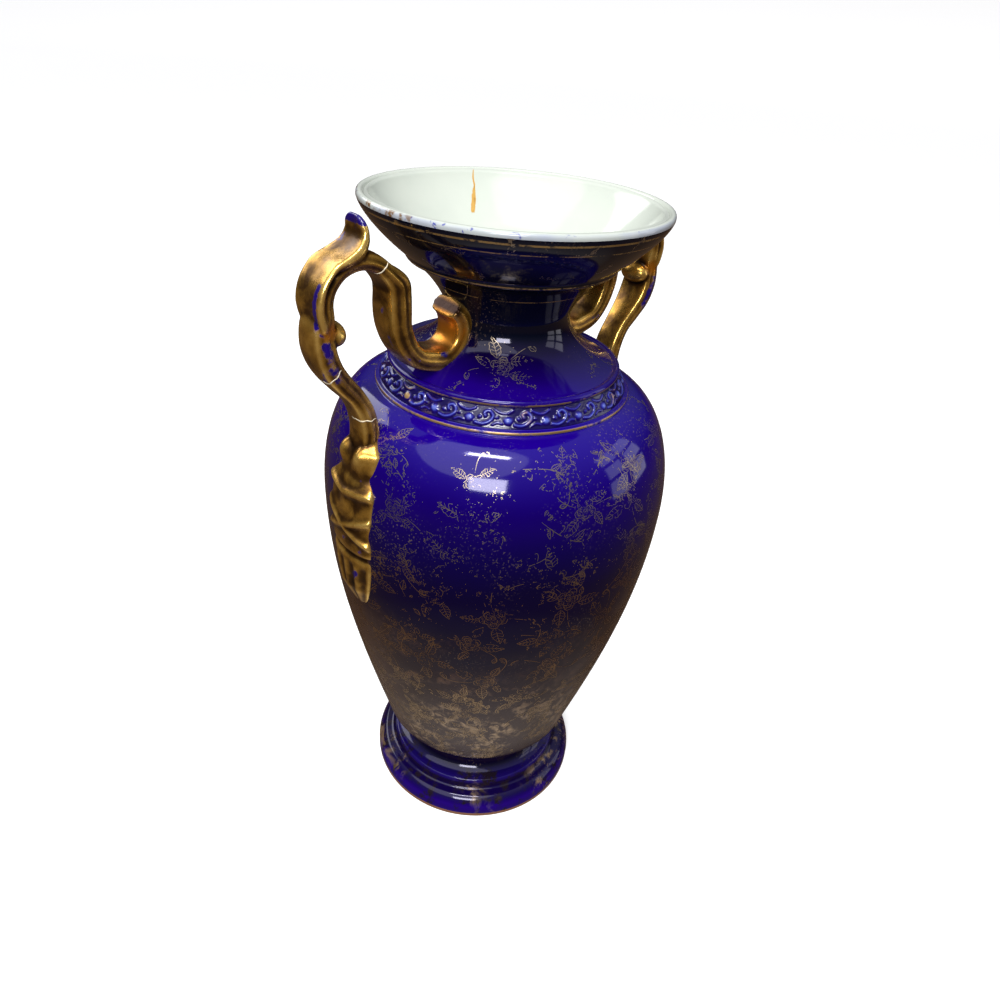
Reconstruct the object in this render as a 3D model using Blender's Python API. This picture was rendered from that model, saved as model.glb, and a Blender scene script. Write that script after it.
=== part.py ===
"""A tall two-handled mantel vase in cobalt earthenware, fired in one piece.

The foot, body, neck and cup are turned about the Z axis. A scrolled strap handle stands
on each side, one on -X and one close to +X, and ends in a moulded leaf on the body.
All lengths are in metres, and the vase stands on Z = 0.
"""

from math import cos, exp, pi, radians, sin, sqrt

import bmesh
import bpy
from mathutils import Matrix, Vector

# Foot
FOOT_RADIUS = 0.0672
FOOT_RING_WIDTH = 0.0095
FOOT_BAND_HEIGHT = 0.0050
FLANGE_HEIGHT = 0.0140
FLANGE_TOP_RADIUS = 0.0612
STEP_RADIUS = 0.0565
STEP_HEIGHT = 0.0065
STEP_TAPER = 0.0017
COVE_HEIGHT = 0.0085
STEM_RADIUS = 0.0450

# Body
HULL_ROUND_HEIGHT = 0.0210
HULL_RADIUS = 0.0609
BELLY_RADIUS = 0.0945
BELLY_ABOVE_STEM = 0.1910
SHOULDER_RADIUS = 0.0662
SHOULDER_ABOVE_BELLY = 0.0588

# Collar of two beads and a row of bosses
LOWER_BEAD_RADIUS = 0.0011
COLLAR_HEIGHT = 0.0090
COLLAR_TOP_RADIUS = 0.0586
UPPER_BEAD_RADIUS = 0.0017
BOSS_COUNT = 22
BOSS_HEIGHT = 0.0010

# Neck and cup
NECK_RADIUS = 0.0313
NECK_WAIST_ABOVE_COLLAR = 0.0262
CUP_STEP_RADIUS = 0.0496
CUP_STEP_ABOVE_WAIST = 0.0245
CUP_STEP_WIDTH = 0.0022
CUP_HEIGHT = 0.0293
RIM_RADIUS = 0.0735

# Walls
WALL = 0.0045
LIP_THICKNESS = 0.0035
FLOOR_THICKNESS = 0.0080
RECESS_WALL = 0.0085
RECESS_BELOW_STEM = 0.0030

# Handles
STRAP_WIDTH = 0.0200
STRAP_THICKNESS = 0.0114
STRAP_FLUTE = 0.0011
ARCH_THICKNESS = 0.0080
LOWER_STRAP_WIDTH = 0.0155
LOWER_STRAP_THICKNESS = 0.0095
SCROLL_RADIUS = 0.0127
SCROLL_BELOW_WAIST = 0.0033
SCROLL_SINK = 0.0042
ARCH_INNER_RADIUS = 0.0128
ARCH_OUTSIDE_RIM = 0.0146
ARCH_BELOW_RIM = 0.0358
KNOB_RADIUS = 0.0056
KNOB_BELOW_ARCH = 0.0130
KNOB_INSIDE_ARCH = 0.0014
RIGHT_HANDLE_TURN = 2.3

# Pointed leaf on the outside of the arch
ARCH_LEAF_WIDTH = 0.0214
ARCH_LEAF_THICKNESS = 0.0036
ARCH_LEAF_PROUD = 0.0012
LEAF_TIP_BELOW_RIM = 0.0016
LEAF_TIP_OUTSIDE_RIM = 0.0132
RIGHT_TIP_LOSS = 0.0055

# Moulded leaf below each handle
LEAF_TOP_BELOW_SHOULDER = 0.0110
LEAF_LENGTH = 0.0950
LEAF_HALF_WIDTH = 0.0180
LEAF_HEIGHT = 0.0050
LEAF_SINK = 0.0020

# Levels worked out from the sizes above
STEP_Z = FLANGE_HEIGHT + STEP_HEIGHT
STEM_Z = STEP_Z + COVE_HEIGHT
RECESS_Z = STEM_Z - RECESS_BELOW_STEM
HULL_Z = STEM_Z + HULL_ROUND_HEIGHT
BELLY_Z = STEM_Z + BELLY_ABOVE_STEM
SHOULDER_Z = BELLY_Z + SHOULDER_ABOVE_BELLY
COLLAR_Z = SHOULDER_Z + 2 * LOWER_BEAD_RADIUS + COLLAR_HEIGHT
WAIST_Z = COLLAR_Z + NECK_WAIST_ABOVE_COLLAR
CUP_STEP_Z = WAIST_Z + CUP_STEP_ABOVE_WAIST
RIM_Z = CUP_STEP_Z + CUP_HEIGHT

# Fineness of the facets
TURN_SEGMENTS = 2 * BOSS_COUNT
STRAP_SIDES = 10


def clear_scene():
    for item in list(bpy.data.objects):
        bpy.data.objects.remove(item, do_unlink=True)


def bezier(start, start_pull, end_pull, end, steps):
    """Points of a cubic curve, without its first one."""
    points = []
    for index in range(1, steps + 1):
        t = index / steps
        weights = ((1 - t) ** 3, 3 * t * (1 - t) ** 2, 3 * t * t * (1 - t), t ** 3)
        corners = (start, start_pull, end_pull, end)
        points.append(tuple(sum(w * v for w, v in zip(weights, row)) for row in zip(*corners)))
    return points


def arc(centre, radius, start, end, steps):
    """Points on an arc between two angles in degrees, both ends included."""
    points = []
    for index in range(steps + 1):
        angle = radians(start + (end - start) * index / steps)
        points.append((centre[0] + radius * cos(angle), centre[1] + radius * sin(angle)))
    return points


def hull_curve(steps):
    """The lower body, from its rounded base up to the widest level."""
    rise = BELLY_Z - HULL_Z
    spread = BELLY_RADIUS - HULL_RADIUS
    start = (HULL_RADIUS, HULL_Z)
    start_pull = (HULL_RADIUS + 0.54 * spread, HULL_Z + 0.36 * rise)
    end_pull = (BELLY_RADIUS, HULL_Z + 0.68 * rise)
    return bezier(start, start_pull, end_pull, (BELLY_RADIUS, BELLY_Z), steps)


def shoulder_curve(steps):
    """The upper body, from its widest level in to the collar."""
    rise = SHOULDER_Z - BELLY_Z
    spread = BELLY_RADIUS - SHOULDER_RADIUS
    start = (BELLY_RADIUS, BELLY_Z)
    start_pull = (BELLY_RADIUS, BELLY_Z + 0.54 * rise)
    end_pull = (SHOULDER_RADIUS + 0.60 * spread, SHOULDER_Z - 0.04 * rise)
    return bezier(start, start_pull, end_pull, (SHOULDER_RADIUS, SHOULDER_Z), steps)


def neck_curve(start, steps):
    """The hollow sweep from the collar in to the waist of the neck."""
    rise = WAIST_Z - start[1]
    spread = start[0] - NECK_RADIUS
    start_pull = (start[0] - 0.50 * spread, start[1] + 0.22 * rise)
    end_pull = (NECK_RADIUS, WAIST_Z - 0.42 * rise)
    return bezier(start, start_pull, end_pull, (NECK_RADIUS, WAIST_Z), steps)


def cup_base_curve(steps):
    """The flare from the waist of the neck out to the step under the cup."""
    spread = CUP_STEP_RADIUS - NECK_RADIUS
    start_pull = (NECK_RADIUS, WAIST_Z + 0.30 * CUP_STEP_ABOVE_WAIST)
    end_pull = (NECK_RADIUS + 0.62 * spread, CUP_STEP_Z - 0.13 * CUP_STEP_ABOVE_WAIST)
    return bezier((NECK_RADIUS, WAIST_Z), start_pull, end_pull, (CUP_STEP_RADIUS, CUP_STEP_Z), steps)


def cup_curve(start, end, steps):
    """The side of the cup, from its step up to the lip."""
    spread = end[0] - start[0]
    rise = end[1] - start[1]
    start_pull = (start[0] + 0.38 * spread, start[1] + 0.26 * rise)
    end_pull = (start[0] + 0.92 * spread, start[1] + 0.72 * rise)
    return bezier(start, start_pull, end_pull, end, steps)


def outer_profile():
    """The outside, from the standing ring up to the crown of the lip, as (radius, height)."""
    ring_chamfer = 0.2 * FOOT_BAND_HEIGHT
    points = [(FOOT_RADIUS - FOOT_RING_WIDTH, 0.0), (FOOT_RADIUS - ring_chamfer, 0.0)]
    points.append((FOOT_RADIUS, ring_chamfer))
    points.append((FOOT_RADIUS, FOOT_BAND_HEIGHT))
    flange_rise = FLANGE_HEIGHT - FOOT_BAND_HEIGHT
    flange_taper = FOOT_RADIUS - FLANGE_TOP_RADIUS
    side_pull = (FOOT_RADIUS - 0.05 * flange_taper, FOOT_BAND_HEIGHT + 0.50 * flange_rise)
    top_pull = (FLANGE_TOP_RADIUS + 0.37 * flange_taper, FLANGE_HEIGHT)
    points += bezier(points[-1], side_pull, top_pull, (FLANGE_TOP_RADIUS, FLANGE_HEIGHT), 3)
    points.append((STEP_RADIUS, FLANGE_HEIGHT + 0.25 * STEP_HEIGHT))
    points.append((STEP_RADIUS - STEP_TAPER, STEP_Z))
    cove_depth = STEP_RADIUS - STEP_TAPER - STEM_RADIUS
    step_pull = (STEM_RADIUS + 0.55 * cove_depth, STEP_Z + 0.02 * COVE_HEIGHT)
    stem_pull = (STEM_RADIUS, STEM_Z - 0.55 * COVE_HEIGHT)
    points += bezier(points[-1], step_pull, stem_pull, (STEM_RADIUS, STEM_Z), 3)
    bulge = HULL_RADIUS - STEM_RADIUS
    stem_leave = (STEM_RADIUS, STEM_Z + 0.25 * HULL_ROUND_HEIGHT)
    hull_meet = (HULL_RADIUS - 0.30 * bulge, HULL_Z - 0.34 * HULL_ROUND_HEIGHT)
    points += bezier(points[-1], stem_leave, hull_meet, (HULL_RADIUS, HULL_Z), 4)
    points += hull_curve(6)
    points += shoulder_curve(6)
    lower_bead = (SHOULDER_RADIUS - LOWER_BEAD_RADIUS, SHOULDER_Z + LOWER_BEAD_RADIUS)
    points += arc(lower_bead, LOWER_BEAD_RADIUS, -40, 110, 2)
    collar_foot = (lower_bead[0] - LOWER_BEAD_RADIUS, lower_bead[1] + LOWER_BEAD_RADIUS)
    collar_top = (COLLAR_TOP_RADIUS, COLLAR_Z)
    for share in (0.0, 0.5, 1.0):
        points.append(tuple(f + (t - f) * share for f, t in zip(collar_foot, collar_top)))
    upper_bead = (COLLAR_TOP_RADIUS - 0.3 * UPPER_BEAD_RADIUS, COLLAR_Z + 0.9 * UPPER_BEAD_RADIUS)
    points += arc(upper_bead, UPPER_BEAD_RADIUS, -30, 120, 3)
    points += neck_curve((points[-1][0] - 0.5 * UPPER_BEAD_RADIUS, points[-1][1]), 5)
    points += cup_base_curve(4)
    points.append((CUP_STEP_RADIUS + CUP_STEP_WIDTH, CUP_STEP_Z + 1.2 * CUP_STEP_WIDTH))
    lip_low = (RIM_RADIUS, RIM_Z - 0.75 * LIP_THICKNESS)
    points += cup_curve(points[-1], lip_low, 5)
    crown = (RIM_RADIUS - 0.5 * LIP_THICKNESS, RIM_Z - 0.5 * LIP_THICKNESS)
    points += arc(crown, 0.5 * LIP_THICKNESS, 0, 90, 2)
    return points


def inner_profile():
    """The inside, from the lip down the wall to the middle of the floor."""
    outside = [(HULL_RADIUS, HULL_Z)] + hull_curve(4) + shoulder_curve(4)
    outside += neck_curve((COLLAR_TOP_RADIUS, COLLAR_Z), 3) + cup_base_curve(3)
    outside += cup_curve(outside[-1], (RIM_RADIUS, RIM_Z), 3)
    inside = []
    for index in range(1, len(outside) - 1):
        along = Vector(outside[index + 1]) - Vector(outside[index - 1])
        inward = Vector((-along.y, along.x)).normalized()
        inside.append(tuple(Vector(outside[index]) + WALL * inward))
    inside.reverse()
    lip = (RIM_RADIUS - 0.5 * LIP_THICKNESS, RIM_Z - 0.5 * LIP_THICKNESS)
    points = arc(lip, 0.5 * LIP_THICKNESS, 135, 180, 1) + inside
    floor_z = RECESS_Z + FLOOR_THICKNESS
    side = (HULL_RADIUS - WALL, HULL_Z)
    side_pull = (side[0] - 0.30 * (HULL_RADIUS - STEM_RADIUS), HULL_Z - 0.34 * HULL_ROUND_HEIGHT)
    floor_edge = (STEM_RADIUS - 2 * WALL, floor_z)
    points.append(side)
    points += bezier(side, side_pull, (STEM_RADIUS, floor_z), floor_edge, 3)
    points.append((0.0, floor_z))
    return points


def recess_profile():
    """The hollow under the foot, from the middle of its roof out to the standing ring."""
    roof_radius = STEM_RADIUS - RECESS_WALL
    ring_radius = FOOT_RADIUS - FOOT_RING_WIDTH
    spread = ring_radius - roof_radius
    roof_pull = (roof_radius + 0.66 * spread, RECESS_Z - 0.15 * (RECESS_Z - FOOT_BAND_HEIGHT))
    mouth_pull = (ring_radius - 0.05 * spread, FLANGE_HEIGHT)
    mouth = (ring_radius - 0.03 * spread, FOOT_BAND_HEIGHT)
    side = bezier((roof_radius, RECESS_Z), roof_pull, mouth_pull, mouth, 4)
    return [(0.0, RECESS_Z), (roof_radius, RECESS_Z)] + side


def body_radius(z):
    """Outer radius of the body at a height between its rounded base and its shoulder."""
    line = [(HULL_RADIUS, HULL_Z)] + hull_curve(40) + shoulder_curve(40)
    for low, high in zip(line, line[1:]):
        if low[1] <= z <= high[1]:
            share = (z - low[1]) / (high[1] - low[1])
            return low[0] + share * (high[0] - low[0])
    return HULL_RADIUS if z < HULL_Z else SHOULDER_RADIUS


def turned_body():
    """The vase without its handles, turned about Z, with the collar's bosses raised."""
    profile = recess_profile() + outer_profile() + inner_profile()
    mesh = bmesh.new()
    vertices = [mesh.verts.new((radius, 0.0, z)) for radius, z in profile]
    edges = [mesh.edges.new(pair) for pair in zip(vertices, vertices[1:])]
    bmesh.ops.spin(mesh, geom=vertices + edges, cent=(0, 0, 0), axis=(0, 0, 1),
                   angle=2 * pi, steps=TURN_SEGMENTS, use_merge=True)
    bmesh.ops.remove_doubles(mesh, verts=mesh.verts, dist=0.00001)
    raise_bosses(mesh)
    bmesh.ops.recalc_face_normals(mesh, faces=mesh.faces)
    return new_object("turned body", mesh)


def raise_bosses(mesh):
    """Push every other facet of the collar band outwards into a low boss."""
    low = SHOULDER_Z + 2 * LOWER_BEAD_RADIUS + 0.1 * COLLAR_HEIGHT
    high = COLLAR_Z - 0.1 * COLLAR_HEIGHT
    for vertex in mesh.verts:
        x, y, z = vertex.co
        radius = sqrt(x * x + y * y)
        if not low < z < high or radius < COLLAR_TOP_RADIUS:
            continue
        turn = round(Vector((1, 0)).angle_signed(Vector((x, y))) * TURN_SEGMENTS / (2 * pi))
        if turn % 2 == 0:
            vertex.co *= Vector((1 + BOSS_HEIGHT / radius, 1 + BOSS_HEIGHT / radius, 1))


def new_object(name, mesh):
    """An object that holds the finished bmesh."""
    data = bpy.data.meshes.new(name)
    mesh.to_mesh(data)
    mesh.free()
    item = bpy.data.objects.new(name, data)
    bpy.context.scene.collection.objects.link(item)
    return item


def loft(name, rings):
    """A closed body through rings of points, with each end closed by a flat cap."""
    mesh = bmesh.new()
    rows = [[mesh.verts.new(point) for point in ring] for ring in rings]
    sides = len(rows[0])
    for low, high in zip(rows, rows[1:]):
        for side in range(sides):
            beside = (side + 1) % sides
            mesh.faces.new((low[side], low[beside], high[beside], high[side]))
    mesh.faces.new(list(reversed(rows[0])))
    mesh.faces.new(rows[-1])
    bmesh.ops.recalc_face_normals(mesh, faces=mesh.faces)
    bmesh.ops.triangulate(mesh, faces=mesh.faces)
    return new_object(name, mesh)


def strap_ring(centre, along, width, thickness, flute):
    """One ring of the strap: a rounded bar with a shallow flute down each narrow side."""
    across = Vector((0, 1, 0))
    out = Vector((along[1], 0, -along[0])).normalized()
    ring = []
    for side in range(STRAP_SIDES):
        angle = 2 * pi * side / STRAP_SIDES
        u = cos(angle)
        v = sin(angle)
        hollow = flute * u if abs(v) < abs(u) / STRAP_SIDES else 0.0
        broad = 0.5 * width * u / max(abs(u), abs(v)) ** 0.35 - hollow
        deep = 0.5 * thickness * v / max(abs(u), abs(v)) ** 0.35
        ring.append(Vector((centre[0], 0, centre[1])) + broad * across + deep * out)
    return ring


def strap(name, stations):
    """A strap along stations of (radius, height, width, thickness)."""
    rings = []
    for index, station in enumerate(stations):
        before = stations[max(index - 1, 0)]
        after = stations[min(index + 1, len(stations) - 1)]
        along = (after[0] - before[0], after[1] - before[1])
        flute = STRAP_FLUTE * min(1.0, station[3] / STRAP_THICKNESS)
        rings.append(strap_ring(station[:2], along, station[2], station[3], flute))
    return loft(name, rings)


def arch_centre():
    """Middle of the arch's inner round, as (radius, height)."""
    return RIM_RADIUS + ARCH_OUTSIDE_RIM, RIM_Z - ARCH_BELOW_RIM


def arch_point(angle, reach):
    """A point at an angle in degrees round the arch's centre."""
    centre = arch_centre()
    return centre[0] + reach * cos(radians(angle)), centre[1] + reach * sin(radians(angle))


def handle_stations():
    """The strap from the scroll's end by the arch down to the body: radius, height, width, thickness."""
    stations = []
    half = 0.5 * STRAP_THICKNESS
    scroll = (NECK_RADIUS + SCROLL_RADIUS + half - SCROLL_SINK, WAIST_Z - SCROLL_BELOW_WAIST)
    curl = arc(scroll, SCROLL_RADIUS, 121, 285, 8)
    for index, point in enumerate(curl):
        share = min(1.0, 0.82 + 0.08 * index)
        stations.append((*point, STRAP_WIDTH * (0.85 + 0.15 * share), STRAP_THICKNESS * share))
    foot = curl[-1]
    shoulder = arch_point(180, ARCH_INNER_RADIUS + half)
    for out, up, swell in ((0.46, 0.09, 0.96), (0.76, 0.29, 1.0), (0.93, 0.56, 1.07), (0.96, 0.80, 1.14)):
        point = (foot[0] + (shoulder[0] - foot[0]) * out, foot[1] + (shoulder[1] - foot[1]) * up)
        stations.append((*point, STRAP_WIDTH, swell * STRAP_THICKNESS))
    thinning = STRAP_THICKNESS - ARCH_THICKNESS
    for angle, share in ((180, 1.5), (165, 1.4), (145, 0.25), (118, 0.05), (90, 0.0), (60, 0.0),
                         (32, 0.0), (8, 0.05), (-14, 0.25)):
        thickness = ARCH_THICKNESS + share * thinning
        point = arch_point(angle, ARCH_INNER_RADIUS + 0.5 * thickness)
        stations.append((*point, 0.94 * STRAP_WIDTH, thickness))
    return stations + drop_stations(stations[-1])


def drop_stations(arch_end):
    """The lower strap, from the knob in and down to its seat on the body."""
    landing_z = SHOULDER_Z - LEAF_TOP_BELOW_SHOULDER
    landing = (body_radius(landing_z) + 0.25 * LOWER_STRAP_THICKNESS, landing_z)
    top = (arch_end[0] + 0.10 * STRAP_THICKNESS, arch_end[1] - 0.60 * STRAP_THICKNESS)
    width_gain = STRAP_WIDTH - LOWER_STRAP_WIDTH
    thickness_gain = STRAP_THICKNESS - LOWER_STRAP_THICKNESS
    stations = []
    for inward, down, share in ((0.00, 0.00, 0.7), (0.02, 0.15, 1.0), (0.16, 0.30, 0.9), (0.42, 0.44, 0.4),
                                (0.70, 0.57, 0.0), (0.90, 0.71, 0.1), (1.00, 0.86, 0.2), (1.00, 1.00, 0.2)):
        point = (top[0] + (landing[0] - top[0]) * inward, top[1] + (landing[1] - top[1]) * down)
        width = LOWER_STRAP_WIDTH + share * width_gain
        stations.append((*point, width, LOWER_STRAP_THICKNESS + share * thickness_gain))
    seat_z = landing_z - 0.10 * LEAF_LENGTH
    seat_radius = body_radius(seat_z) + 0.10 * LOWER_STRAP_THICKNESS
    stations.append((seat_radius, seat_z, LOWER_STRAP_WIDTH, 0.45 * LOWER_STRAP_THICKNESS))
    return stations


def arch_leaf(tip_loss):
    """The long leaf that lies along the outside of the arch and turns up into a free tip."""
    bed = ARCH_INNER_RADIUS + ARCH_THICKNESS + ARCH_LEAF_PROUD - 0.5 * ARCH_LEAF_THICKNESS
    stations = []
    for angle, width, thickness in ((-33, 0.60, 0.6), (-24, 0.94, 1.0), (0, 1.0, 1.0), (22, 1.0, 0.9),
                                    (40, 1.0, 0.8), (54, 1.0, 0.9)):
        stations.append((*arch_point(angle, bed), ARCH_LEAF_WIDTH * width, ARCH_LEAF_THICKNESS * thickness))
    tip = (RIM_RADIUS + LEAF_TIP_OUTSIDE_RIM, RIM_Z - LEAF_TIP_BELOW_RIM - tip_loss)
    rise = tip[1] - stations[-1][1]
    spread = stations[-1][0] - tip[0]
    root = stations[-1]
    for inward, up, width, thickness in ((0.46, 0.12, 0.98, 1.25), (0.80, 0.24, 0.94, 1.40),
                                         (1.02, 0.42, 0.86, 1.20), (1.10, 0.64, 0.78, 0.95),
                                         (1.05, 0.86, 0.64, 0.85), (1.00, 1.00, 0.34, 0.55)):
        place = (root[0] - spread * inward, root[1] + rise * up)
        stations.append((*place, ARCH_LEAF_WIDTH * width, ARCH_LEAF_THICKNESS * thickness))
    return strap("arch leaf", stations)


def handle_knob():
    """The rounded curl on the inner side of the strap below the arch."""
    inner = arch_point(0, ARCH_INNER_RADIUS)
    centre = (inner[0] - KNOB_INSIDE_ARCH, inner[1] - KNOB_BELOW_ARCH)
    mesh = bmesh.new()
    bmesh.ops.create_icosphere(mesh, subdivisions=2, radius=KNOB_RADIUS)
    for vertex in mesh.verts:
        vertex.co.y *= 0.46 * STRAP_WIDTH / KNOB_RADIUS
        vertex.co += Vector((centre[0], 0, centre[1]))
    return new_object("knob", mesh)


def leaf_outline(share):
    """Half width of the moulded leaf at a share of its length, from 0 at the top to 1."""
    rounded_top = 0.45 + 0.33 * min(1.0, share / 0.06) + 0.22 * min(1.0, max(0.0, share - 0.16) / 0.10)
    tapered_end = sqrt(max(0.0, 1.0 - (max(0.0, share - 0.52) / 0.53) ** 2))
    pinch = 0.08 * exp(-((share - 0.18) / 0.04) ** 2) + 0.08 * exp(-((share - 0.48) / 0.05) ** 2)
    return LEAF_HALF_WIDTH * rounded_top * tapered_end * (1.0 - pinch)


def leaf_relief(share, across):
    """Height of the leaf's carving above the body; across runs from -1 to 1."""
    side = abs(across)
    height = 0.80 * sqrt(max(0.0, 1.0 - across * across))
    height += 0.80 * exp(-((share - 0.09) / 0.055) ** 2 - ((side - 0.45) / 0.30) ** 2)
    height -= 0.22 * exp(-((share - 0.18) / 0.030) ** 2)
    height += 0.42 * exp(-((share - 0.25 - 0.03 * (1 - side)) / 0.022) ** 2)
    height -= 0.26 * exp(-((share - 0.34) / 0.045) ** 2 - ((side - 0.42) / 0.25) ** 2)
    strap_line = abs(share - 0.47) - 0.075 * side
    height += 0.34 * exp(-(strap_line / 0.020) ** 2)
    height -= 0.35 * exp(-((share - 0.64) / 0.018) ** 2)
    if share > 0.68:
        height += 0.14 * cos(4 * pi * across)
    fade = min(1.0, (1.0 - share) / 0.12)
    return LEAF_HEIGHT * max(0.0, height) * (0.25 + 0.75 * fade)


def moulded_leaf():
    """The leaf that carries the foot of a handle, lying on the body and sunk into its wall."""
    rows = 19
    columns = 8
    top_z = SHOULDER_Z - LEAF_TOP_BELOW_SHOULDER
    rings = []
    for row in range(rows + 1):
        share = row / rows
        z = top_z - LEAF_LENGTH * share
        radius = body_radius(z)
        slope = (body_radius(z + 0.001) - body_radius(z - 0.001)) / 0.002
        normal = Vector((1, -slope)).normalized()
        half = max(leaf_outline(share), 0.08 * LEAF_HALF_WIDTH)
        ring = []
        for column in range(columns + 1):
            across = -1 + 2 * column / columns
            lift = leaf_relief(share, across) - 0.1 * LEAF_SINK
            ring.append(on_body(radius, z, normal, half * across, lift))
        ring.append(on_body(radius, z, normal, half, -LEAF_SINK))
        ring.append(on_body(radius, z, normal, -half, -LEAF_SINK))
        rings.append(ring)
    return loft("leaf", rings)


def on_body(radius, z, normal, sideways, lift):
    """A point beside the +X meridian of the body, lifted along the surface normal."""
    angle = sideways / radius
    reach = radius + normal.x * lift
    return Vector((reach * cos(angle), reach * sin(angle), z + normal.y * lift))


def handle(tip_loss, turn):
    """The bodies of one handle, turned about the vase's axis by degrees from +X."""
    pieces = [strap("strap", handle_stations()), arch_leaf(tip_loss), handle_knob(), moulded_leaf()]
    for piece in pieces:
        piece.data.transform(Matrix.Rotation(radians(turn), 4, "Z"))
    return pieces


def join_all(base, pieces):
    """Union the pieces into the base and bake the result."""
    for piece in pieces:
        union = base.modifiers.new(piece.name, "BOOLEAN")
        union.operation = "UNION"
        union.solver = "EXACT"
        union.object = piece
    bpy.context.view_layer.update()
    evaluated = base.evaluated_get(bpy.context.evaluated_depsgraph_get())
    joined = bpy.data.meshes.new_from_object(evaluated)
    base.modifiers.clear()
    base.data = joined
    for piece in pieces:
        bpy.data.objects.remove(piece, do_unlink=True)


def glaze():
    """Cobalt glaze, the colour that covers most of the vase."""
    material = bpy.data.materials.new("cobalt glaze")
    material.use_nodes = True
    shader = material.node_tree.nodes["Principled BSDF"]
    shader.inputs["Base Color"].default_value = (0.012, 0.004, 0.230, 1.0)
    shader.inputs["Roughness"].default_value = 0.12
    shader.inputs["Metallic"].default_value = 0.0
    return material


def build():
    clear_scene()
    vase = turned_body()
    vase.name = "vase"
    join_all(vase, handle(0.0, 180.0) + handle(RIGHT_TIP_LOSS, RIGHT_HANDLE_TURN))
    vase.data.name = "vase"
    vase.data.materials.clear()
    vase.data.materials.append(glaze())
    vase.data.shade_smooth()
    vase.data.set_sharp_from_angle(angle=radians(40))


build()
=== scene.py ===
"""Looks of a tall two-handled mantel vase in cobalt earthenware with worn gilding.

The vase is turned about Z and stands on Z = 0. The handles lie on -X and close to +X.
All lengths are in metres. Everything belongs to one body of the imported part, "root".
"""

import random
from math import atan2, cos, dist, exp, pi, radians, sin, sqrt

import bmesh
import bpy
import numpy as np
from mathutils import Matrix, Vector, noise
from mathutils.bvhtree import BVHTree


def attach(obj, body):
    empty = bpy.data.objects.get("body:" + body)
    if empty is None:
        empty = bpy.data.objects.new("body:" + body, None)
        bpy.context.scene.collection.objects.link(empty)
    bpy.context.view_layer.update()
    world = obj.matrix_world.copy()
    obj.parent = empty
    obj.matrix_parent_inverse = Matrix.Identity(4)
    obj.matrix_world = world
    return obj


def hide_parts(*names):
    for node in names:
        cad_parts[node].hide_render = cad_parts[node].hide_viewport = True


# Foot
FOOT_RADIUS = 0.0672
FOOT_RING_WIDTH = 0.0095
FOOT_BAND_HEIGHT = 0.0050
BARE_EDGE_HEIGHT = 0.6 * FOOT_BAND_HEIGHT
FLANGE_HEIGHT = 0.0140
FLANGE_TOP_RADIUS = 0.0612
STEP_RADIUS = 0.0565
STEP_HEIGHT = 0.0065
STEP_TAPER = 0.0017
STEP_FILLET = 0.0008
COVE_HEIGHT = 0.0085
STEM_RADIUS = 0.0450

# Body
HULL_ROUND_HEIGHT = 0.0210
HULL_RADIUS = 0.0609
BELLY_RADIUS = 0.0943
BELLY_ABOVE_STEM = 0.1910
SHOULDER_RADIUS = 0.0662
SHOULDER_ABOVE_BELLY = 0.0588

# Collar
LOWER_BEAD_RADIUS = 0.0011
COLLAR_HEIGHT = 0.0090
COLLAR_TOP_RADIUS = 0.0586
UPPER_BEAD_RADIUS = 0.0017
BOSS_COUNT = 22
BOSS_HEIGHT = 0.0010
BAND_LIFT = 0.00008
BAND_SINK = 0.0003
BAND_FADE = 0.0006

# Neck and cup
NECK_RADIUS = 0.0313
NECK_WAIST_ABOVE_COLLAR = 0.0262
CUP_STEP_RADIUS = 0.0496
CUP_STEP_ABOVE_WAIST = 0.0245
CUP_STEP_WIDTH = 0.0022
CUP_HEIGHT = 0.0293
RIM_RADIUS = 0.0735

# Walls
WALL = 0.0045
LIP_THICKNESS = 0.0035
FLOOR_THICKNESS = 0.0080
RECESS_WALL = 0.0085
RECESS_BELOW_STEM = 0.0030

# Handles
STRAP_WIDTH = 0.0200
STRAP_THICKNESS = 0.0114
STRAP_SQUARENESS = 0.42
STRAP_FLUTE = 0.0006
FLUTE_PLACE = 0.34
FLUTE_SPREAD = 0.15
ARCH_THICKNESS = 0.0080
LOWER_STRAP_WIDTH = 0.0155
LOWER_STRAP_THICKNESS = 0.0095
SCROLL_RADIUS = 0.0127
SCROLL_BELOW_WAIST = 0.0033
SCROLL_SINK = 0.0042
ARCH_INNER_RADIUS = 0.0128
ARCH_OUTSIDE_RIM = 0.0146
ARCH_BELOW_RIM = 0.0358
KNOB_RADIUS = 0.0056
KNOB_BELOW_ARCH = 0.0130
KNOB_INSIDE_ARCH = 0.0014
RIGHT_HANDLE_TURN = 2.3

# Scale of each handle's reach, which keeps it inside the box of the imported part
HANDLE_SLACK = 0.995

# Pointed leaf on the outside of the arch
ARCH_LEAF_WIDTH = 0.0214
ARCH_LEAF_THICKNESS = 0.0036
ARCH_LEAF_PROUD = 0.0012
LEAF_TIP_BELOW_RIM = 0.0016
LEAF_TIP_OUTSIDE_RIM = 0.0132
RIGHT_TIP_LOSS = 0.0055
ARCH_LEAF_CUP = 0.0007
CUP_SPREAD = 0.55
LEAF_SQUARENESS = 0.70

# Moulded leaf below each handle
LEAF_TOP_BELOW_SHOULDER = 0.0110
LEAF_LENGTH = 0.0950
LEAF_HALF_WIDTH = 0.0180
LEAF_HEIGHT = 0.0050
LEAF_SINK = 0.0020

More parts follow.
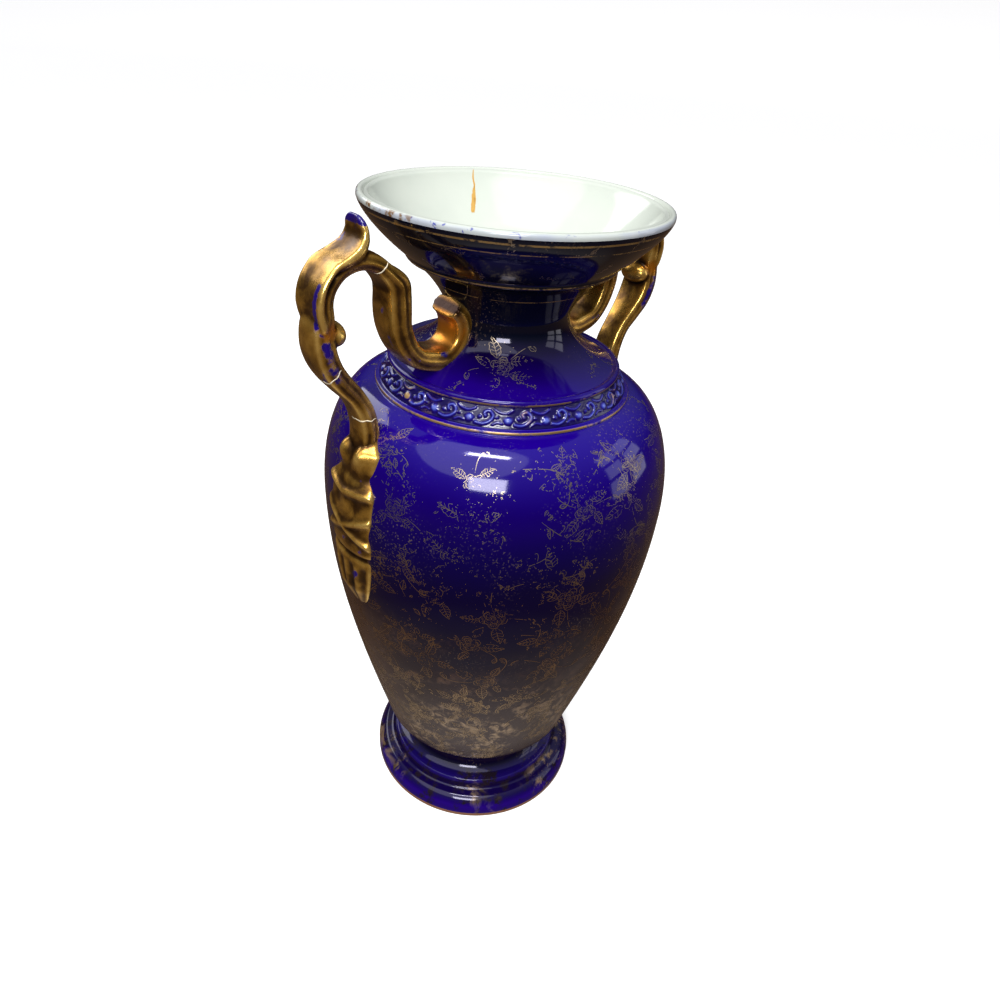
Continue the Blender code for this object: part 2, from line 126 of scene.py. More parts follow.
# Levels
STEP_Z = FLANGE_HEIGHT + STEP_HEIGHT
STEM_Z = STEP_Z + COVE_HEIGHT
RECESS_Z = STEM_Z - RECESS_BELOW_STEM
HULL_Z = STEM_Z + HULL_ROUND_HEIGHT
BELLY_Z = STEM_Z + BELLY_ABOVE_STEM
SHOULDER_Z = BELLY_Z + SHOULDER_ABOVE_BELLY
COLLAR_Z = SHOULDER_Z + 2 * LOWER_BEAD_RADIUS + COLLAR_HEIGHT
WAIST_Z = COLLAR_Z + NECK_WAIST_ABOVE_COLLAR
CUP_STEP_Z = WAIST_Z + CUP_STEP_ABOVE_WAIST
RIM_Z = CUP_STEP_Z + CUP_HEIGHT

# Turning points of the outline, as (radius, height)
STEM = (STEM_RADIUS, STEM_Z)
HULL = (HULL_RADIUS, HULL_Z)
BELLY = (BELLY_RADIUS, BELLY_Z)
SHOULDER = (SHOULDER_RADIUS, SHOULDER_Z)
COLLAR_TOP = (COLLAR_TOP_RADIUS, COLLAR_Z)
WAIST = (NECK_RADIUS, WAIST_Z)
CUP_STEP = (CUP_STEP_RADIUS, CUP_STEP_Z)

# How the outline's curves leave one turning point and meet the next, as shares (out, up) of the way
FLANGE_EASE = ((0.05, 0.50), (0.37, 0.00))
STEM_EASE = ((0.00, 0.25), (0.30, 0.34))
HULL_EASE = ((0.54, 0.36), (0.00, 0.32))
SHOULDER_EASE = ((0.00, 0.54), (0.60, 0.04))
NECK_EASE = ((0.50, 0.22), (0.00, 0.42))
CUP_BASE_EASE = ((0.00, 0.30), (0.38, 0.13))
CUP_EASE = ((0.38, 0.26), (0.08, 0.28))

# Fineness
TURN_SEGMENTS = 224
COLLAR_SEGMENTS = 1056
COLLAR_ROWS = 26
STRAP_SIDES = 96
LINE_STEPS = 6
LEAF_ROWS = 150
LEAF_COLUMNS = 56
CLAY_GRAIN = 0.00062
CLAY_SMOOTHING = 3
HOLLOW_SMOOTHING = 26
HOLLOW_DEPTH = 0.0008
GILT_LIFT = 0.00005
SLOPE_STEP = 0.0006
SAME_POINT = 1e-6
TINY = 1e-12

# One repeat of the collar's ornament, by shares of its width and height. Its lines are points,
# steps, half width and height; its bosses are middle, half width, half height and height
COLLAR_LINES = (
    (((0.34, 0.24), (0.52, 0.20), (0.70, 0.34), (0.78, 0.58), (0.68, 0.78), (0.55, 0.70), (0.58, 0.55)),
     5, 0.00062, 0.85),
    (((0.80, 0.86), (0.96, 0.74), (1.14, 0.72), (1.30, 0.86)), 5, 0.00050, 0.60),
    (((0.78, 0.20), (0.90, 0.30), (1.02, 0.26)), 4, 0.00045, 0.55))
COLLAR_BOSSES = ((0.17, 0.40, 0.0019, 0.0016, 1.0), (0.44, 0.50, 0.0009, 0.0008, 0.6),
                 (0.88, 0.52, 0.0008, 0.0007, 0.5))

# Where cobalt shows on a handle, where its gold is red, and where painted shade darkens it: lines of
# (outward, sideways, height) with a half width
BLUE_STROKES = (
    ([(0.0735, 0.0098, 0.3170), (0.0700, 0.0098, 0.3090), (0.0640, 0.0098, 0.3040)], 0.0012),
    ([(0.0600, 0.0088, 0.3045), (0.0560, 0.0080, 0.3035)], 0.0016),
    ([(0.1070, 0.0085, 0.3190), (0.1050, 0.0085, 0.3120), (0.1010, 0.0075, 0.3030)], 0.0026),
    ([(0.0960, 0.0000, 0.2985), (0.0900, 0.0000, 0.2925)], 0.0030),
    ([(0.0850, 0.0110, 0.2520), (0.0900, 0.0080, 0.2480)], 0.0030),
    ([(0.0950, 0.0060, 0.2180), (0.0960, 0.0000, 0.2150)], 0.0026),
    ([(0.0980, 0.0090, 0.1980), (0.0960, 0.0060, 0.1940)], 0.0022))
RED_STROKES = (
    ([(0.0385, 0.0, 0.3110), (0.0395, 0.0, 0.3170)], 0.0100),
    ([(0.0365, 0.0098, 0.3100), (0.0350, 0.0098, 0.3140)], 0.0016),
    ([(0.1030, 0.0085, 0.3260), (0.1050, 0.0085, 0.3240)], 0.0030))
# Painted shade on the scroll's end face by the neck
END_SHADE_STROKES = (([(0.0390, -0.0080, 0.3240), (0.0390, 0.0080, 0.3240)], 0.0046),)

# The blue streak down the side of the arch's leaf, and the blue end of its tip
STREAK_ANGLES = (26, 10, -8, -22, -32)
STREAK_SIDEWAYS = 0.0066
STREAK_HALF_WIDTH = 0.0022
BLUE_TIP_LENGTH = 0.0042
BLUE_TIP_FADE = 0.0014

# Rows of gilt roses and of the smaller gilding between them, as (height, count, size)
ROSE_ROWS = ((0.268, 13, 0.0135), (0.247, 15, 0.0145), (0.223, 16, 0.0150), (0.198, 16, 0.0150),
             (0.173, 16, 0.0150), (0.148, 16, 0.0145), (0.125, 16, 0.0135), (0.103, 15, 0.0125),
             (0.083, 14, 0.0115), (0.066, 13, 0.0100), (0.052, 12, 0.0085))
FILLING_ROWS = ((0.273, 11, 0.0110), (0.250, 14, 0.0130), (0.221, 15, 0.0130), (0.191, 15, 0.0130),
                (0.162, 14, 0.0120), (0.134, 14, 0.0120), (0.107, 13, 0.0110), (0.083, 12, 0.0100),
                (0.062, 11, 0.0080))
NECK_ROWS = ((0.3020, 4, 0.0130), (0.2955, 9, 0.0060), (0.3600, 16, 0.0048), (0.3500, 14, 0.0040))
FIRST_LOW_ROW = 5
TENDRILS = 2
NECK_ROWS_START = radians(-133.0)

# How much of the gilding is left, and the place on the body where it is rubbed most
BODY_GILDING_LEFT = 0.14
LOW_GILDING_LEFT = 0.20
FINE_GILDING_LEFT = 0.10
NEVER_RUBBED = 9.0
MOST_WORN = Vector((-0.066, -0.064, 0.232))
MOST_WORN_REACH = 0.040

# Worn gilt lines round the vase, as (height, half width)
GILT_RINGS = ((SHOULDER_Z + 1.2 * LOWER_BEAD_RADIUS, 0.0007), (COLLAR_Z + 0.5 * UPPER_BEAD_RADIUS, 0.0008),
              (WAIST_Z + 0.0160, 0.0003), (CUP_STEP_Z + 0.0012, 0.0004),
              (RIM_Z - 0.0050, 0.0005), (RIM_Z - 0.0095, 0.0003))

# Mended breaks round the left strap: place along it, slant, first and last side
REPAIRS = ((94, 0.25, 84, 110), (145, -0.3, 72, 104), (165, 0.2, 70, 106))
REPAIR_HALF_WIDTH = 0.00032
REPAIR_JAG = 0.0007

# The mended crack inside the cup: its direction, its top, and its way down as (sideways, up)
CRACK_TURN = radians(68.9)
CRACK_TOP = 0.3690
CRACK_WANDER = 0.00025
CRACK_PATH = ((0.0000, 0.0), (0.0006, -0.004), (0.0004, -0.008), (0.0012, -0.012), (0.0016, -0.016),
              (0.0026, -0.020), (0.0034, -0.024))

# Colours of the room from straight below to straight above
ROOM_COLOURS = ((0.00, (0.680, 0.650, 0.620)), (0.04, (0.330, 0.290, 0.250)), (0.13, (0.110, 0.070, 0.045)),
                (0.40, (0.100, 0.055, 0.030)), (0.49, (0.040, 0.022, 0.014)), (0.53, (0.030, 0.030, 0.040)),
                (0.66, (0.130, 0.135, 0.150)), (1.00, (0.600, 0.600, 0.620)))

# Lamps: azimuth, elevation and distance; then the height aimed at, width, height and power
WINDOWS = [("overhead window", -140, 69, 1.2, 0.27, 0.42, 0.11, 7.5),
           ("front window", -136, 28, 1.5, 0.03, 0.56, 0.36, 14),
           ("far window", 104, 32, 1.5, 0.33, 0.90, 0.62, 6.5)]
WINDOWS += [("side window", -38 + 9.5 * column, 16 + 14.0 * row, 1.4, 0.25, 0.34, 0.27, 0.45)
            for column in (-1, 1) for row in (-1, 0, 1)]
LAMP_CENTRE_Z = 0.2
SKY_POWER = 1.35
SKY_SPREAD = 60
FLOOR_GLOW = 0.35

# The photograph's viewpoint, with angles in radians except the turn round the vase
CAMERA_TURN = 42.0
CAMERA_DISTANCE = 0.36771
CAMERA_HEIGHT = 0.43731
CAMERA_YAW = 0.0120716
CAMERA_PITCH = 0.5681511
CAMERA_ROLL = 0.0875664
CAMERA_LENS = 27.0
CAMERA_SENSOR = 36.0


def bezier(start, start_pull, end_pull, end, steps):
    """Points of a cubic curve, without its first one."""
    points = []
    for index in range(1, steps + 1):
        t = index / steps
        weights = ((1 - t) ** 3, 3 * t * (1 - t) ** 2, 3 * t * t * (1 - t), t ** 3)
        corners = (start, start_pull, end_pull, end)
        points.append(tuple(sum(w * v for w, v in zip(weights, row)) for row in zip(*corners)))
    return points


def eased(start, end, ease, steps):
    """A cubic curve that leaves its start and meets its end by shares (out, up) of the way."""
    way = (end[0] - start[0], end[1] - start[1])
    start_pull = [s + share * w for s, share, w in zip(start, ease[0], way)]
    end_pull = [e - share * w for e, share, w in zip(end, ease[1], way)]
    return bezier(start, start_pull, end_pull, end, steps)


def polar(angle, reach, centre=(0.0, 0.0)):
    """The flat point at an angle in radians and a reach from a centre."""
    return centre[0] + reach * cos(angle), centre[1] + reach * sin(angle)


def arc(centre, radius, start, end, steps):
    """Points on an arc between two angles in degrees, both ends included."""
    angles = [radians(start + (end - start) * index / steps) for index in range(steps + 1)]
    return [polar(angle, radius, centre) for angle in angles]


def smooth_line(points, steps=LINE_STEPS):
    """A curve that passes through all the points, with the given steps in each stretch."""
    line = [tuple(points[0])]
    for index in range(len(points) - 1):
        before = points[max(index - 1, 0)]
        start = points[index]
        end = points[index + 1]
        after = points[min(index + 2, len(points) - 1)]
        pull_start = [s + (e - b) / 6 for b, s, e in zip(before, start, end)]
        pull_end = [e - (a - s) / 6 for s, e, a in zip(start, end, after)]
        line.extend(bezier(start, pull_start, pull_end, end, steps))
    return line


def body_sides(low_steps, high_steps):
    """The body from its rounded base up to the widest level, and in to the collar."""
    return eased(HULL, BELLY, HULL_EASE, low_steps) + eased(BELLY, SHOULDER, SHOULDER_EASE, high_steps)


def foot_profile():
    """The outside of the foot, from the standing ring up to the stem."""
    chamfer = 0.2 * FOOT_BAND_HEIGHT
    points = [(FOOT_RADIUS - FOOT_RING_WIDTH, 0.0), (FOOT_RADIUS - 3 * chamfer, 0.0)]
    points += arc((FOOT_RADIUS - chamfer, chamfer), chamfer, -90, 0, 5)
    points += [(FOOT_RADIUS, BARE_EDGE_HEIGHT), (FOOT_RADIUS, FOOT_BAND_HEIGHT)]
    points += eased(points[-1], (FLANGE_TOP_RADIUS, FLANGE_HEIGHT), FLANGE_EASE, 14)
    points += bezier(points[-1], (STEP_RADIUS + STEP_FILLET, FLANGE_HEIGHT + 0.1 * STEP_FILLET),
                     (STEP_RADIUS + 0.2 * STEP_FILLET, FLANGE_HEIGHT + STEP_FILLET),
                     (STEP_RADIUS, FLANGE_HEIGHT + 0.30 * STEP_HEIGHT), 7)
    top_radius = STEP_RADIUS - STEP_TAPER
    edge = (STEP_RADIUS - 0.75 * STEP_TAPER, STEP_Z - STEP_FILLET)
    points += bezier(points[-1], points[-1], edge, edge, 3)
    points += bezier(edge, (edge[0] - 0.1 * STEP_FILLET, STEP_Z - 0.3 * STEP_FILLET),
                     (top_radius - 0.1 * STEP_FILLET, STEP_Z), (top_radius - 0.8 * STEP_FILLET, STEP_Z), 4)
    step_pull = (STEM_RADIUS + 0.50 * (top_radius - STEM_RADIUS), STEP_Z + 0.02 * COVE_HEIGHT)
    stem_pull = (STEM_RADIUS, STEM_Z - 0.55 * COVE_HEIGHT)
    return points + bezier(points[-1], step_pull, stem_pull, STEM, 10)


def body_profile():
    """The outside of the body, from the stem up to the collar."""
    return eased(STEM, HULL, STEM_EASE, 16) + body_sides(62, 40)


def collar_profile():
    """The two beads with the band between them, and the way up to the neck."""
    lower_bead = (SHOULDER_RADIUS - LOWER_BEAD_RADIUS, SHOULDER_Z + LOWER_BEAD_RADIUS)
    points = arc(lower_bead, LOWER_BEAD_RADIUS, -50, 120, 9)
    points += [(lower_bead[0] - LOWER_BEAD_RADIUS, lower_bead[1] + LOWER_BEAD_RADIUS), COLLAR_TOP]
    upper_bead = (COLLAR_TOP_RADIUS - 0.3 * UPPER_BEAD_RADIUS, COLLAR_Z + 0.9 * UPPER_BEAD_RADIUS)
    return points + arc(upper_bead, UPPER_BEAD_RADIUS, -45, 135, 11)


def neck_profile():
    """The outside of the neck and the cup, up to the lip."""
    bead_end = collar_profile()[-1]
    start = (bead_end[0] - 0.4 * UPPER_BEAD_RADIUS, bead_end[1])
    points = [start] + eased(start, WAIST, NECK_EASE, 26) + eased(WAIST, CUP_STEP, CUP_BASE_EASE, 16)
    ridge = 0.35 * CUP_STEP_WIDTH
    points += bezier(points[-1], (CUP_STEP_RADIUS + ridge, CUP_STEP_Z - 0.2 * ridge),
                     (CUP_STEP_RADIUS + 2.6 * ridge, CUP_STEP_Z + 0.5 * ridge),
                     (CUP_STEP_RADIUS + CUP_STEP_WIDTH, CUP_STEP_Z + 1.2 * CUP_STEP_WIDTH), 7)
    return points + eased(points[-1], (RIM_RADIUS, RIM_Z - 0.75 * LIP_THICKNESS), CUP_EASE, 30)


def lip_profile():
    """The rounded lip, from its outer side over the crown to the inside."""
    crown = (RIM_RADIUS - 0.5 * LIP_THICKNESS, RIM_Z - 0.5 * LIP_THICKNESS)
    return arc(crown, 0.5 * LIP_THICKNESS, 0, 180, 14)


def inner_profile():
    """The inside, from below the lip down the wall to the middle of the floor."""
    outside = [HULL] + body_sides(22, 18) + eased(COLLAR_TOP, WAIST, NECK_EASE, 10)
    outside += eased(WAIST, CUP_STEP, CUP_BASE_EASE, 8)
    outside += eased(CUP_STEP, (RIM_RADIUS, RIM_Z), CUP_EASE, 12)
    inside = []
    for index in range(1, len(outside) - 1):
        along = Vector(outside[index + 1]) - Vector(outside[index - 1])
        inward = Vector((-along.y, along.x)).normalized()
        inside.append(tuple(Vector(outside[index]) + WALL * inward))
    inside.reverse()
    floor_z = RECESS_Z + FLOOR_THICKNESS
    side = (HULL_RADIUS - WALL, HULL_Z)
    side_pull = (side[0] - 0.30 * (HULL_RADIUS - STEM_RADIUS), HULL_Z - 0.34 * HULL_ROUND_HEIGHT)
    floor_edge = (STEM_RADIUS - 2 * WALL, floor_z)
    points = inside + [side] + bezier(side, side_pull, (STEM_RADIUS, floor_z), floor_edge, 8)
    return points + [(0.5 * floor_edge[0], floor_z), (0.0, floor_z)]


def recess_profile():
    """The hollow under the foot, from the middle of its roof out to the standing ring."""
    roof_radius = STEM_RADIUS - RECESS_WALL
    ring_radius = FOOT_RADIUS - FOOT_RING_WIDTH
    spread = ring_radius - roof_radius
    roof_pull = (roof_radius + 0.66 * spread, RECESS_Z - 0.15 * (RECESS_Z - FOOT_BAND_HEIGHT))
    mouth_pull = (ring_radius - 0.05 * spread, FLANGE_HEIGHT)
    mouth = (ring_radius - 0.03 * spread, FOOT_BAND_HEIGHT)
    side = bezier((roof_radius, RECESS_Z), roof_pull, mouth_pull, mouth, 14)
    return [(0.0, RECESS_Z), (0.5 * roof_radius, RECESS_Z), (roof_radius, RECESS_Z)] + side


def placed(name, data):
    """A new object in the scene."""
    item = bpy.data.objects.new(name, data)
    bpy.context.scene.collection.objects.link(item)
    return item


def new_piece(name, mesh, *materials):
    """An object of the vase that rides on its only body."""
    item = placed(name, mesh)
    for material in materials:
        mesh.materials.append(material)
    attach(item, "root")
    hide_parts("vase")
    return item


def turned_mesh(name, sections, segments):
    """A closed turned surface. Sections are (profile points, material index)."""
    profile = []
    slots = []
    for points, slot in sections:
        for point in points:
            if not profile or dist(point, profile[-1]) >= SAME_POINT:
                profile.append(point)
                slots.append(slot)
    run = [0.0]
    for low, high in zip(profile, profile[1:]):
        run.append(run[-1] + dist(low, high))
    vertices = []
    rows = []
    for radius, z in profile:
        if radius < SAME_POINT:
            rows.append([len(vertices)] * segments)
            vertices.append((0.0, 0.0, z))
            continue
        rows.append(list(range(len(vertices), len(vertices) + segments)))
        vertices += [(*polar(2 * pi * turn / segments, radius), z) for turn in range(segments)]
    faces = []
    face_slots = []
    corners = []
    for index, (low, high) in enumerate(zip(rows, rows[1:])):
        for turn in range(segments):
            beside = (turn + 1) % segments
            face = [low[turn], low[beside], high[beside], high[turn]]
            places = [(turn, index), (turn + 1, index), (turn + 1, index + 1), (turn, index + 1)]
            if low[turn] == low[beside]:
                del face[1], places[1]
            elif high[turn] == high[beside]:
                del face[3], places[3]
            faces.append(face)
            face_slots.append(slots[index + 1])
            corners += [(turns / segments, run[row]) for turns, row in places]
    mesh = bpy.data.meshes.new(name)
    mesh.from_pydata(vertices, [], faces)
    mesh.polygons.foreach_set("material_index", face_slots)
    layer = mesh.uv_layers.new(name="UVMap")
    layer.data.foreach_set("uv", np.array(corners, dtype=np.float32).ravel())
    mesh.shade_smooth()
    mesh.update()
    return mesh


def strap_ring(centre, along, width, thickness, flute=0.0, cup=0.0, squareness=STRAP_SQUARENESS):
    """One ring of a strap, with two flutes down each narrow side and a cupped outer face."""
    out = Vector((along[1], 0, -along[0])).normalized()
    ring = []
    for side in range(STRAP_SIDES):
        u, v = polar(2 * pi * (side + 0.5) / STRAP_SIDES, 1.0)
        larger = max(abs(u), abs(v)) ** squareness
        broad = 0.5 * width * u / larger
        deep = 0.5 * thickness * v / larger
        if abs(u) > abs(v):
            edge = min(1.0, (abs(u) - abs(v)) / 0.25)
            groove = exp(-((v / larger - FLUTE_PLACE) / FLUTE_SPREAD) ** 2)
            groove += exp(-((v / larger + FLUTE_PLACE) / FLUTE_SPREAD) ** 2)
            broad -= (1 if u > 0 else -1) * flute * groove * edge
        elif v > 0:
            deep -= cup * exp(-(u / larger / CUP_SPREAD) ** 2)
        ring.append(Vector((centre[0], 0, centre[1])) + broad * Vector((0, 1, 0)) + deep * out)
    return ring


def join_rings(mesh, rings):
    """Add a closed body through rings of points to a bmesh."""
    rows = [[mesh.verts.new(point) for point in ring] for ring in rings]
    sides = len(rows[0])
    for low, high in zip(rows, rows[1:]):
        for side in range(sides):
            beside = (side + 1) % sides
            mesh.faces.new((low[side], low[beside], high[beside], high[side]))
    mesh.faces.new(list(reversed(rows[0])))
    mesh.faces.new(rows[-1])
    bmesh.ops.recalc_face_normals(mesh, faces=mesh.faces)


def direction_at(points, index):
    """The way (outward, upward) between the neighbours of one of the points."""
    before = points[max(index - 1, 0)]
    after = points[min(index + 1, len(points) - 1)]
    return after[0] - before[0], after[1] - before[1]


def add_strap(mesh, stations, cup=0.0, squareness=STRAP_SQUARENESS):
    """A strap along stations of (radius, height, width, thickness)."""
    rings = []
    for index, (radius, z, width, thickness) in enumerate(stations):
        flute = STRAP_FLUTE * min(1.0, thickness / STRAP_THICKNESS)
        along = direction_at(stations, index)
        rings.append(strap_ring((radius, z), along, width, thickness, flute, cup, squareness))
    join_rings(mesh, rings)


def body_radius(z):
    """Outer radius of the body at a height between its rounded base and its shoulder."""
    for low, high in zip(BODY_LINE, BODY_LINE[1:]):
        if low[1] <= z <= high[1]:
            share = (z - low[1]) / (high[1] - low[1])
            return low[0] + share * (high[0] - low[0])
    return HULL_RADIUS if z < HULL_Z else SHOULDER_RADIUS


def arch_point(angle, reach):
    """A point at an angle in degrees round the middle of the arch, as (radius, height)."""
    return polar(radians(angle), reach, (RIM_RADIUS + ARCH_OUTSIDE_RIM, RIM_Z - ARCH_BELOW_RIM))


def between(start, end, out, up):
    """A point between two others, by shares of the way outward and upward."""
    return start[0] + (end[0] - start[0]) * out, start[1] + (end[1] - start[1]) * up


def handle_stations():
    """The strap from the scroll's end by the arch down to the body: radius, height, width, thickness."""
    stations = []
    half = 0.5 * STRAP_THICKNESS
    scroll = (NECK_RADIUS + SCROLL_RADIUS + half - SCROLL_SINK, WAIST_Z - SCROLL_BELOW_WAIST)
    curl = arc(scroll, SCROLL_RADIUS, 121, 285, 8)
    for index, point in enumerate(curl):
        share = min(1.0, 0.82 + 0.08 * index)
        stations.append((*point, STRAP_WIDTH * (0.85 + 0.15 * share), STRAP_THICKNESS * share))
    top = arch_point(180, ARCH_INNER_RADIUS + half)
    for out, up, swell in ((0.46, 0.09, 0.96), (0.76, 0.29, 1.0), (0.93, 0.56, 1.07), (0.96, 0.80, 1.14)):
        stations.append((*between(curl[-1], top, out, up), STRAP_WIDTH, swell * STRAP_THICKNESS))
    thinning = STRAP_THICKNESS - ARCH_THICKNESS
    for angle, share in ((180, 1.5), (165, 1.4), (145, 0.25), (118, 0.05), (90, 0.0), (60, 0.0),
                         (32, 0.0), (8, 0.05), (-14, 0.25)):
        thickness = ARCH_THICKNESS + share * thinning
        point = arch_point(angle, ARCH_INNER_RADIUS + 0.5 * thickness)
        stations.append((*point, 0.94 * STRAP_WIDTH, thickness))
    return stations + drop_stations(stations[-1])


def drop_stations(arch_end):
    """The lower strap, from the knob in and down to its seat on the body."""
    landing_z = SHOULDER_Z - LEAF_TOP_BELOW_SHOULDER
    landing = (body_radius(landing_z) + 0.25 * LOWER_STRAP_THICKNESS, landing_z)
    top = (arch_end[0] + 0.10 * STRAP_THICKNESS, arch_end[1] - 0.60 * STRAP_THICKNESS)
    stations = []
    for inward, down, share in ((0.00, 0.00, 0.7), (0.02, 0.15, 1.0), (0.16, 0.30, 0.9), (0.42, 0.44, 0.4),
                                (0.70, 0.57, 0.0), (0.90, 0.71, 0.1), (1.00, 0.86, 0.2), (1.00, 1.00, 0.2)):
        width = LOWER_STRAP_WIDTH + share * (STRAP_WIDTH - LOWER_STRAP_WIDTH)
        thickness = LOWER_STRAP_THICKNESS + share * (STRAP_THICKNESS - LOWER_STRAP_THICKNESS)
        stations.append((*between(top, landing, inward, down), width, thickness))
    seat_z = landing_z - 0.10 * LEAF_LENGTH
    seat_radius = body_radius(seat_z) + 0.10 * LOWER_STRAP_THICKNESS
    return stations + [(seat_radius, seat_z, LOWER_STRAP_WIDTH, 0.45 * LOWER_STRAP_THICKNESS)]


def add_arch_leaf(mesh, tip_loss):
    """The long leaf that lies along the outside of the arch and turns up into a free tip."""
    bed = ARCH_INNER_RADIUS + ARCH_THICKNESS + ARCH_LEAF_PROUD - 0.5 * ARCH_LEAF_THICKNESS
    stations = []
    for angle, width, thickness in ((-33, 0.60, 0.6), (-24, 0.94, 1.0), (0, 1.0, 1.0), (22, 1.0, 0.9),
                                    (40, 1.0, 0.8), (54, 1.0, 0.9)):
        stations.append((*arch_point(angle, bed), ARCH_LEAF_WIDTH * width, ARCH_LEAF_THICKNESS * thickness))
    root = stations[-1]
    tip = (RIM_RADIUS + LEAF_TIP_OUTSIDE_RIM, RIM_Z - LEAF_TIP_BELOW_RIM - tip_loss)
    for inward, up, width, thickness in ((0.46, 0.12, 0.98, 1.25), (0.80, 0.24, 0.94, 1.40),
                                         (1.02, 0.42, 0.86, 1.20), (1.10, 0.64, 0.78, 0.95),
                                         (1.05, 0.86, 0.64, 0.85), (1.00, 1.00, 0.34, 0.55)):
        place = between(root, tip, inward, up)
        stations.append((*place, ARCH_LEAF_WIDTH * width, ARCH_LEAF_THICKNESS * thickness))
    add_strap(mesh, smooth_line(stations), ARCH_LEAF_CUP, LEAF_SQUARENESS)


def add_knob(mesh):
    """The rounded curl on the inner side of the strap below the arch."""
    inner = arch_point(0, ARCH_INNER_RADIUS)
    centre = Vector((inner[0] - KNOB_INSIDE_ARCH, 0, inner[1] - KNOB_BELOW_ARCH))
    for vertex in bmesh.ops.create_icosphere(mesh, subdivisions=4, radius=KNOB_RADIUS)["verts"]:
        vertex.co.y *= 0.44 * STRAP_WIDTH / KNOB_RADIUS
        vertex.co += centre


def leaf_outline(share):
    """Half width of the moulded leaf at a share of its length, from 0 at the top to 1."""
    rounded_top = 0.45 + 0.33 * min(1.0, share / 0.06) + 0.22 * min(1.0, max(0.0, share - 0.16) / 0.10)
    tapered_end = sqrt(max(0.0, 1.0 - (max(0.0, share - 0.52) / 0.53) ** 2))
    pinch = 0.08 * exp(-((share - 0.18) / 0.04) ** 2) + 0.08 * exp(-((share - 0.48) / 0.05) ** 2)
    return LEAF_HALF_WIDTH * rounded_top * tapered_end * (1.0 - pinch)


def leaf_relief(share, across):
    """Height of the leaf's carving above the body; across runs from -1 to 1."""
    side = abs(across)
    height = 0.80 * sqrt(max(0.0, 1.0 - across * across))
    height += 0.80 * exp(-((share - 0.09) / 0.055) ** 2 - ((side - 0.45) / 0.30) ** 2)
    height -= 0.22 * exp(-((share - 0.18) / 0.030) ** 2)
    height += 0.42 * exp(-((share - 0.25 - 0.03 * (1 - side)) / 0.022) ** 2)
    height -= 0.26 * exp(-((share - 0.34) / 0.045) ** 2 - ((side - 0.42) / 0.25) ** 2)
    height += 0.34 * exp(-((abs(share - 0.47) - 0.075 * side) / 0.020) ** 2)
    height -= 0.35 * exp(-((share - 0.64) / 0.018) ** 2)
    if share > 0.68:
        height += 0.14 * cos(4 * pi * across) * min(1.0, (share - 0.68) / 0.04)
    fade = min(1.0, (1.0 - share) / 0.12)
    return LEAF_HEIGHT * max(0.0, height) * (0.25 + 0.75 * fade)


def add_moulded_leaf(mesh):
    """The leaf that carries the foot of a handle, lying on the body and sunk into its wall."""
    spans = [-1 + 2 * column / LEAF_COLUMNS for column in range(LEAF_COLUMNS + 1)]
    rings = []
    for row in range(LEAF_ROWS + 1):
        share = row / LEAF_ROWS
        z = SHOULDER_Z - LEAF_TOP_BELOW_SHOULDER - LEAF_LENGTH * share
        radius = body_radius(z)
        slope = (body_radius(z + 0.001) - body_radius(z - 0.001)) / 0.002
        normal = Vector((1, -slope)).normalized()
        half = max(leaf_outline(share), 0.08 * LEAF_HALF_WIDTH)
        top = [(across, leaf_relief(share, across) - 0.1 * LEAF_SINK) for across in spans]
        under = [(across, -LEAF_SINK) for across in reversed(spans)]
        ring = []
        for across, lift in top + under:
            ring.append((*polar(half * across / radius, radius + normal.x * lift), z + normal.y * lift))
        rings.append(ring)
    join_rings(mesh, rings)


def fused(whole):
    """The parts of a bmesh pressed together like clay, with small fillets at the joints."""
    data = bpy.data.meshes.new("fused")
    whole.to_mesh(data)
    whole.free()
    item = placed("fused", data)
    remesh = item.modifiers.new("clay", "REMESH")
    remesh.mode = "VOXEL"
    remesh.voxel_size = CLAY_GRAIN
    soften = item.modifiers.new("soften", "SMOOTH")
    soften.factor = 0.5
    soften.iterations = CLAY_SMOOTHING
    bpy.context.view_layer.update()
    evaluated = item.evaluated_get(bpy.context.evaluated_depsgraph_get())
    result = bpy.data.meshes.new_from_object(evaluated)
    bpy.data.objects.remove(item, do_unlink=True)
    result.shade_smooth()
    return result


def handle_mesh(tip_loss, side):
    """One handle with its leaf, on +X, painted most on its +Y side (side 1) or -Y side (side -1)."""
    clay = bmesh.new()
    add_strap(clay, smooth_line(handle_stations()))
    add_arch_leaf(clay, tip_loss)
    add_knob(clay)
    add_moulded_leaf(clay)
    mesh = fused(clay)
    mark_hollows(mesh)
    mark_paint(mesh, tip_loss, side)
    return mesh


def vertex_array(mesh, attribute):
    """A vector that belongs to each of the mesh's points, as rows of numbers."""
    values = np.empty(3 * len(mesh.vertices), dtype=np.float32)
    mesh.vertices.foreach_get(attribute, values)
    return values.reshape(-1, 3)


def store_mark(mesh, name, values):
    """Store a number at each of the mesh's points."""
    layer = mesh.attributes.new(name, "FLOAT", "POINT")
    layer.data.foreach_set("value", values.astype(np.float32).ravel())


